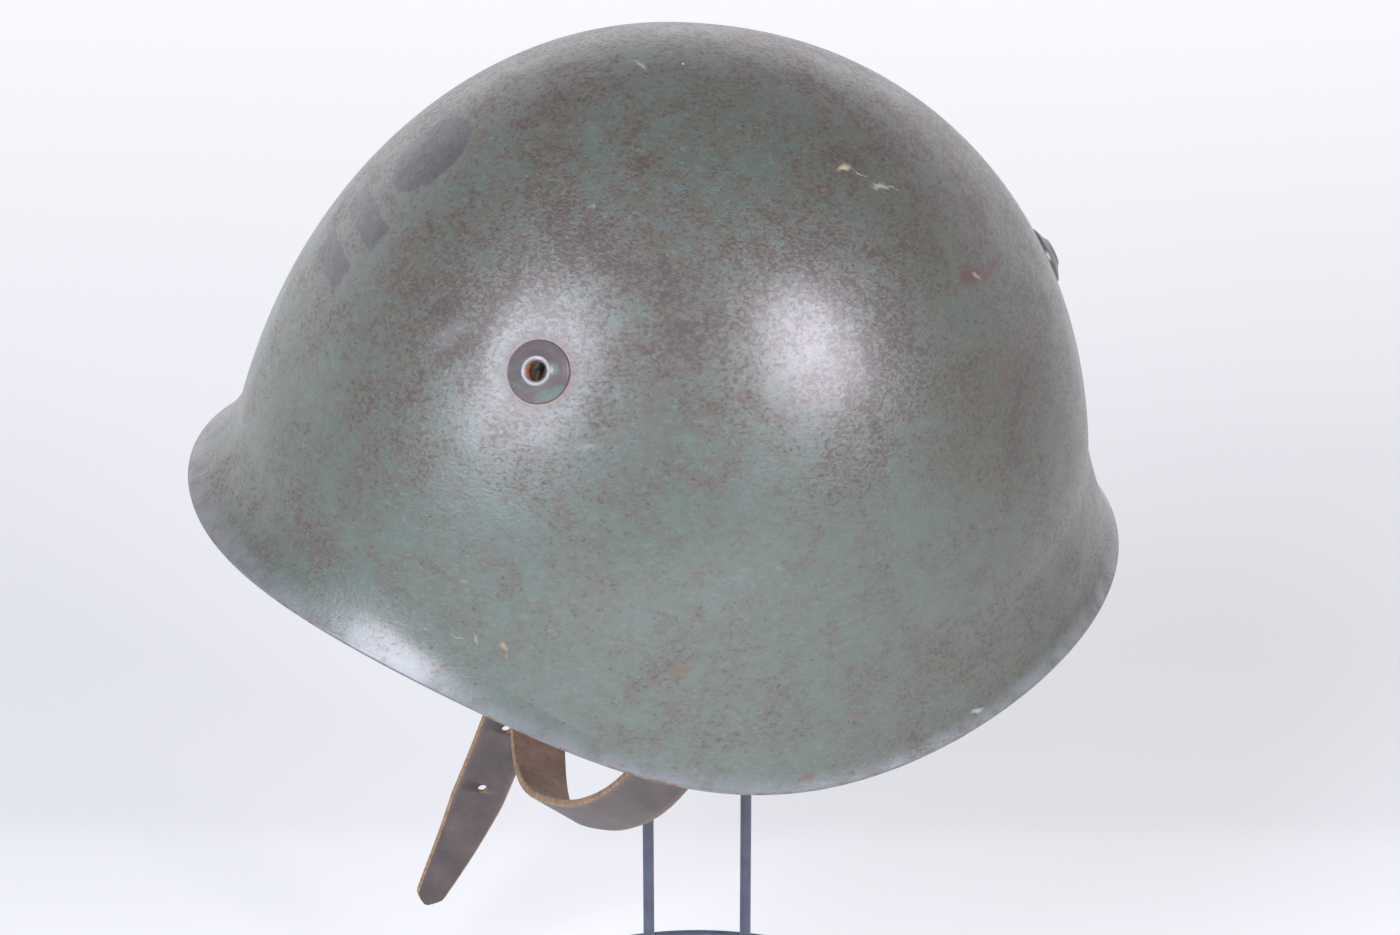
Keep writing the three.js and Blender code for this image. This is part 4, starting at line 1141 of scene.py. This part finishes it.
def buckle_strap_piece():
    """The short doubled strap from the buckle's bar to the right hanger's bar, sewn shut between them."""
    low_bar = buckle_centre + end["along"] * (BUCKLE_WINDOW + BUCKLE_WIRE)
    points = [low_bar, low_bar + end["along"] * STRAP_LEAD,
              right_bar["at"] + right_bar["along"] * STRAP_LEAD, right_bar["at"]]
    steps, fold_steps, sewn_from, sewn_over = 48, 16, 0.1, 0.25
    middle = stations(points, [end["across"]] * 2 + [right_bar["across"]] * 2, steps)
    share = np.linspace(0, 1, steps + 1)
    over = FOLD_ON_BUCKLE + (FOLD_ON_HANGER - FOLD_ON_BUCKLE) * share
    pinch = np.clip((np.minimum(share, 1 - share) - sewn_from) / sewn_over, 0, 1)
    pinch = pinch * pinch * (3 - 2 * pinch)
    offset = (over + (STRAP_THICK / 2 + GAP - over) * pinch)[:, None]
    rising = middle["at"] - middle["grain"] * offset
    falling = (middle["at"] + middle["grain"] * offset)[::-1]
    _, top, top_across = fold_over(rising[-1], middle["along"][-1], middle["across"][-1],
                                   middle["grain"][-1], FOLD_ON_HANGER, fold_steps)
    _, foot, foot_across = fold_over(rising[0], -middle["along"][0], middle["across"][0],
                                     middle["grain"][0], FOLD_ON_BUCKLE, fold_steps)
    at = np.concatenate([rising, top[:-1], falling, foot[:-1][::-1]])
    across = np.concatenate([middle["across"], top_across[:-1], middle["across"][::-1], foot_across[:-1]])
    return ribbon("buckle_strap_leather", at, across, np.full(len(at), STRAP_WIDTH), closed=True)


# Wire pieces

def wire_piece(name, lines, diameter, finish, closed=False):
    """Round wire along one or more lines of points."""
    points, edges = [], []
    for line in lines:
        start = len(points)
        points += [tuple(point) for point in line]
        edges += [(start + step, start + step + 1) for step in range(len(line) - 1)]
        if closed:
            edges.append((len(points) - 1, start))
    piece = new_object(name, points, edges)
    return grown(piece, round_wire, {"Diameter": diameter * MM, "Sides": 24, "Finish": finish})


def arc(centre, radius, start, stop, steps):
    """Points of an arc between two angles in degrees."""
    angles = np.radians(np.linspace(start, stop, steps + 1))
    return [(centre[0] + radius * math.cos(angle), centre[1] + radius * math.sin(angle))
            for angle in angles]


def buckle_piece():
    """Plain wire frame with rounded corners, which the strap folds over."""
    half_wide = STRAP_WIDTH / 2 + BUCKLE_SIDE + BUCKLE_WIRE / 2
    high = BUCKLE_WINDOW + BUCKLE_WIRE
    inset, corner = half_wide - BUCKLE_CORNER, BUCKLE_CORNER
    bends = (((inset, corner), -90), ((inset, high - corner), 0),
             ((-inset, high - corner), 90), ((-inset, corner), 180))
    outline = [point for centre, start in bends for point in arc(centre, corner, start, start + 90, 8)]
    line = [buckle_centre + end["across"] * x + end["along"] * y for x, y in outline]
    return wire_piece("buckle_frame", [line], BUCKLE_WIRE, steel, closed=True)


def stand_pieces():
    """The stand's ring, its cross bar and the tall hoop that the shell hangs on."""
    low, high = (np.array(corner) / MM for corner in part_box("display_stand"))
    middle_y = (low[1] + high[1]) / 2
    half = STAND_WIRE / 2
    ring = [(x, middle_y + y, half) for x, y in arc((0, 0), RING_RADIUS, 0, 360, 192)[:-1]]
    bar = [(0, middle_y - RING_RADIUS, half), (0, middle_y + RING_RADIUS, half)]
    radius = HOOP_SPAN / 2
    springing = high[2] - HOOP_WIRE / 2 / math.cos(math.pi / 8) - radius
    bow = [(0, middle_y + x, springing + y) for x, y in arc((0, 0), radius, 180, 0, 48)]
    hoop = [(0, middle_y - radius, half)] + bow + [(0, middle_y + radius, half)]
    return [
        wire_piece("stand_ring", [ring], STAND_WIRE, slate, closed=True),
        wire_piece("stand_bar", [bar], STAND_WIRE, slate),
        wire_piece("stand_hoop", [hoop], HOOP_WIRE, slate),
    ]


# Making the pieces

punch = punch_tree()
round_wire = wire_tree()
rivets_on = rivet_tree()
vent_finish = vent_paint()
rusty = rust()
grain_hide, flesh_hide, edge_hide = grain_leather(), flesh_leather(), cut_leather()
steel = dull_steel()
slate = stand_enamel()

left_bar, right_bar = hanger_bar(1), hanger_bar(-1)
strap = strap_line()
end = {key: strap[key][-1] for key in strap}
buckle_centre, buckle_turn_at, buckle_turn_across = fold_over(
    end["at"], end["along"], end["across"], end["grain"], FOLD_ON_BUCKLE, 20)
tail_start = buckle_turn_at[-1]
fall = math.sqrt(TAIL_LENGTH ** 2 - TAIL_LEAD ** 2)
tail_points = [(tail_start[0] + np.sign(tail_start[0]) * TAIL_LEAN * row["along"],
                tail_start[1] - TAIL_LEAD * row["lead"], tail_start[2] - fall * row["along"])
               for row in TAIL_ROUTE]
tail = stations(tail_points, [(row["out"], 1, -row["dip"]) for row in TAIL_ROUTE], 120)

shell = shell_piece()
side_vents = vents_piece("side_vent_rivets", VENTS[:2], SIDE_FLANGE)
rear_vent = vents_piece("rear_vent_rivet", VENTS[2:], REAR_FLANGE)
chin_strap = chin_strap_piece()
buckle_strap = buckle_strap_piece()
buckle = buckle_piece()
stand = stand_pieces()

for piece, nodes, slot in (
        (shell, ["steel_shell"], "shell_paint"),
        (side_vents, ["vent_rivet_left", "vent_rivet_right"], "vent_paint"),
        (rear_vent, ["vent_rivet_rear"], "vent_paint"),
        (chin_strap, ["chin_strap"], "leather"),
        (buckle_strap, ["buckle_strap"], "leather"),
        (buckle, ["strap_buckle"], "bare_steel"),
        (stand[0], ["display_stand"], "stand_paint"),
        (stand[1], ["display_stand"], "stand_paint"),
        (stand[2], ["display_stand"], "stand_paint")):
    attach(piece, "root")
    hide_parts(*nodes)

for name in ("strap_hanger_left", "strap_hanger_right"):
    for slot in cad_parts[name].material_slots:
        slot.material = steel


# Stage, light and camera

def floor_paper():
    """Pale matt studio paper, lit a little more in front and far behind."""
    made, tree, shader = new_material("pale_studio_paper")
    where = add(tree, "ShaderNodeTexCoord").outputs["Object"]
    behind = add(tree, "ShaderNodeVectorMath", {0: where, 1: (-0.965, 0.262, 0.0)},
                 operation="DOT_PRODUCT").outputs["Value"]
    share = add(tree, "ShaderNodeMapRange", {"Value": behind, "From Min": -1.0, "From Max": 1.0})
    glow = add(tree, "ShaderNodeValToRGB", {"Fac": share}, ramp=(
        (0.36, "#a4a5a5"), (0.53, "#838584"), (0.575, "#7e807f"), (0.583, "#777978"), (0.72, "#7a7c7b"),
        (1.0, "#9a9b9a")))
    set_inputs(tree, shader, {
        "Base Color": "#b2b2b3", "Roughness": 0.9, "Emission Color": glow, "Emission Strength": 1.95})
    return made


def stage_floor():
    """A wide plain floor, which isn't part of the object."""
    size = 6000.0
    corners = [(-size, -size, 0), (size, -size, 0), (size, size, 0), (-size, size, 0)]
    floor = new_piece("studio_floor", corners, [(0, 1, 2, 3)], [floor_paper()])


def soft_light(name, azimuth, elevation, distance, size, power, colour):
    """A soft box that faces the middle of the helmet from an azimuth and an elevation in degrees."""
    turn, lift = math.radians(azimuth), math.radians(elevation)
    way = Vector((math.sin(turn) * math.cos(lift), -math.cos(turn) * math.cos(lift), math.sin(lift)))
    lamp = bpy.data.lights.new(name, "AREA")
    lamp.shape = "RECTANGLE"
    lamp.size, lamp.size_y = size
    lamp.energy = power
    lamp.color = linear(colour)[:3]
    holder = bpy.data.objects.new(name, lamp)
    holder.location = Vector(CAMERA_TARGET) * MM + way * distance
    holder.rotation_euler = way.to_track_quat("Z", "Y").to_euler()
    holder.visible_camera = False
    bpy.context.scene.collection.objects.link(holder)


stage_floor()
for box in table(
        "name azimuth elevation distance size power colour",
        ("key_box", 39, 37, 1.7, (0.85, 0.85), 34, "#efeeff"),
        ("rear_box", 126, 31, 1.7, (0.5, 0.7), 25, "#f5efff"),
        ("front_box", 28, 20, 1.7, (0.9, 0.5), 2, "#f2edff"),
        ("low_box", 84, -6, 1.3, (1.3, 0.15), 1.5, "#f2edff")):
    soft_light(**box)

# The backdrop lies behind the helmet, so the room is light there, and dim behind the camera and overhead
world = bpy.data.worlds.new("studio_room")
world.use_nodes = True
room = world.node_tree
way = add(room, "ShaderNodeTexCoord").outputs["Generated"]
towards = add(room, "ShaderNodeVectorMath", {0: way, 1: (0.95, -0.25, 0.0)},
              operation="DOT_PRODUCT").outputs["Value"]
across = add(room, "ShaderNodeMapRange", {"Value": towards, "From Min": -1.0, "From Max": 1.0})
walls = add(room, "ShaderNodeValToRGB", {"Fac": across}, ramp=(
    (0.0, "#fcf8ff"), (0.3, "#e8e5ef"), (0.5, "#b2b3b9"), (0.68, "#7c7c83"), (1.0, "#6c6c72")))
lift = add(room, "ShaderNodeSeparateXYZ", {"Vector": way})
ceiling = add(room, "ShaderNodeMapRange", {
    "Value": lift.outputs["Z"], "From Min": 0.12, "From Max": 0.6, "To Max": 0.8})
shade = layered(room, walls, [("#62626a", ceiling, "MIX")])
set_inputs(room, room.nodes["Background"], {"Color": shade, "Strength": 1.5})
bpy.context.scene.world = world
bpy.context.scene.view_settings.view_transform = "Standard"

camera_data = bpy.data.cameras.new("photo_camera")
camera_data.sensor_width = 36
camera_data.lens = FOCAL_PIXELS / IMAGE_WIDTH * camera_data.sensor_width
camera_data.clip_end = 50
camera = bpy.data.objects.new("photo_camera", camera_data)
back, up = Vector(CAMERA_BACK), Vector(CAMERA_UP)
basis = Matrix((up.cross(back).normalized(), up, back)).transposed().to_4x4()
camera.matrix_world = Matrix.Translation((Vector(CAMERA_TARGET) + back * CAMERA_DISTANCE) * MM) @ basis
bpy.context.scene.collection.objects.link(camera)
bpy.context.scene.camera = camera
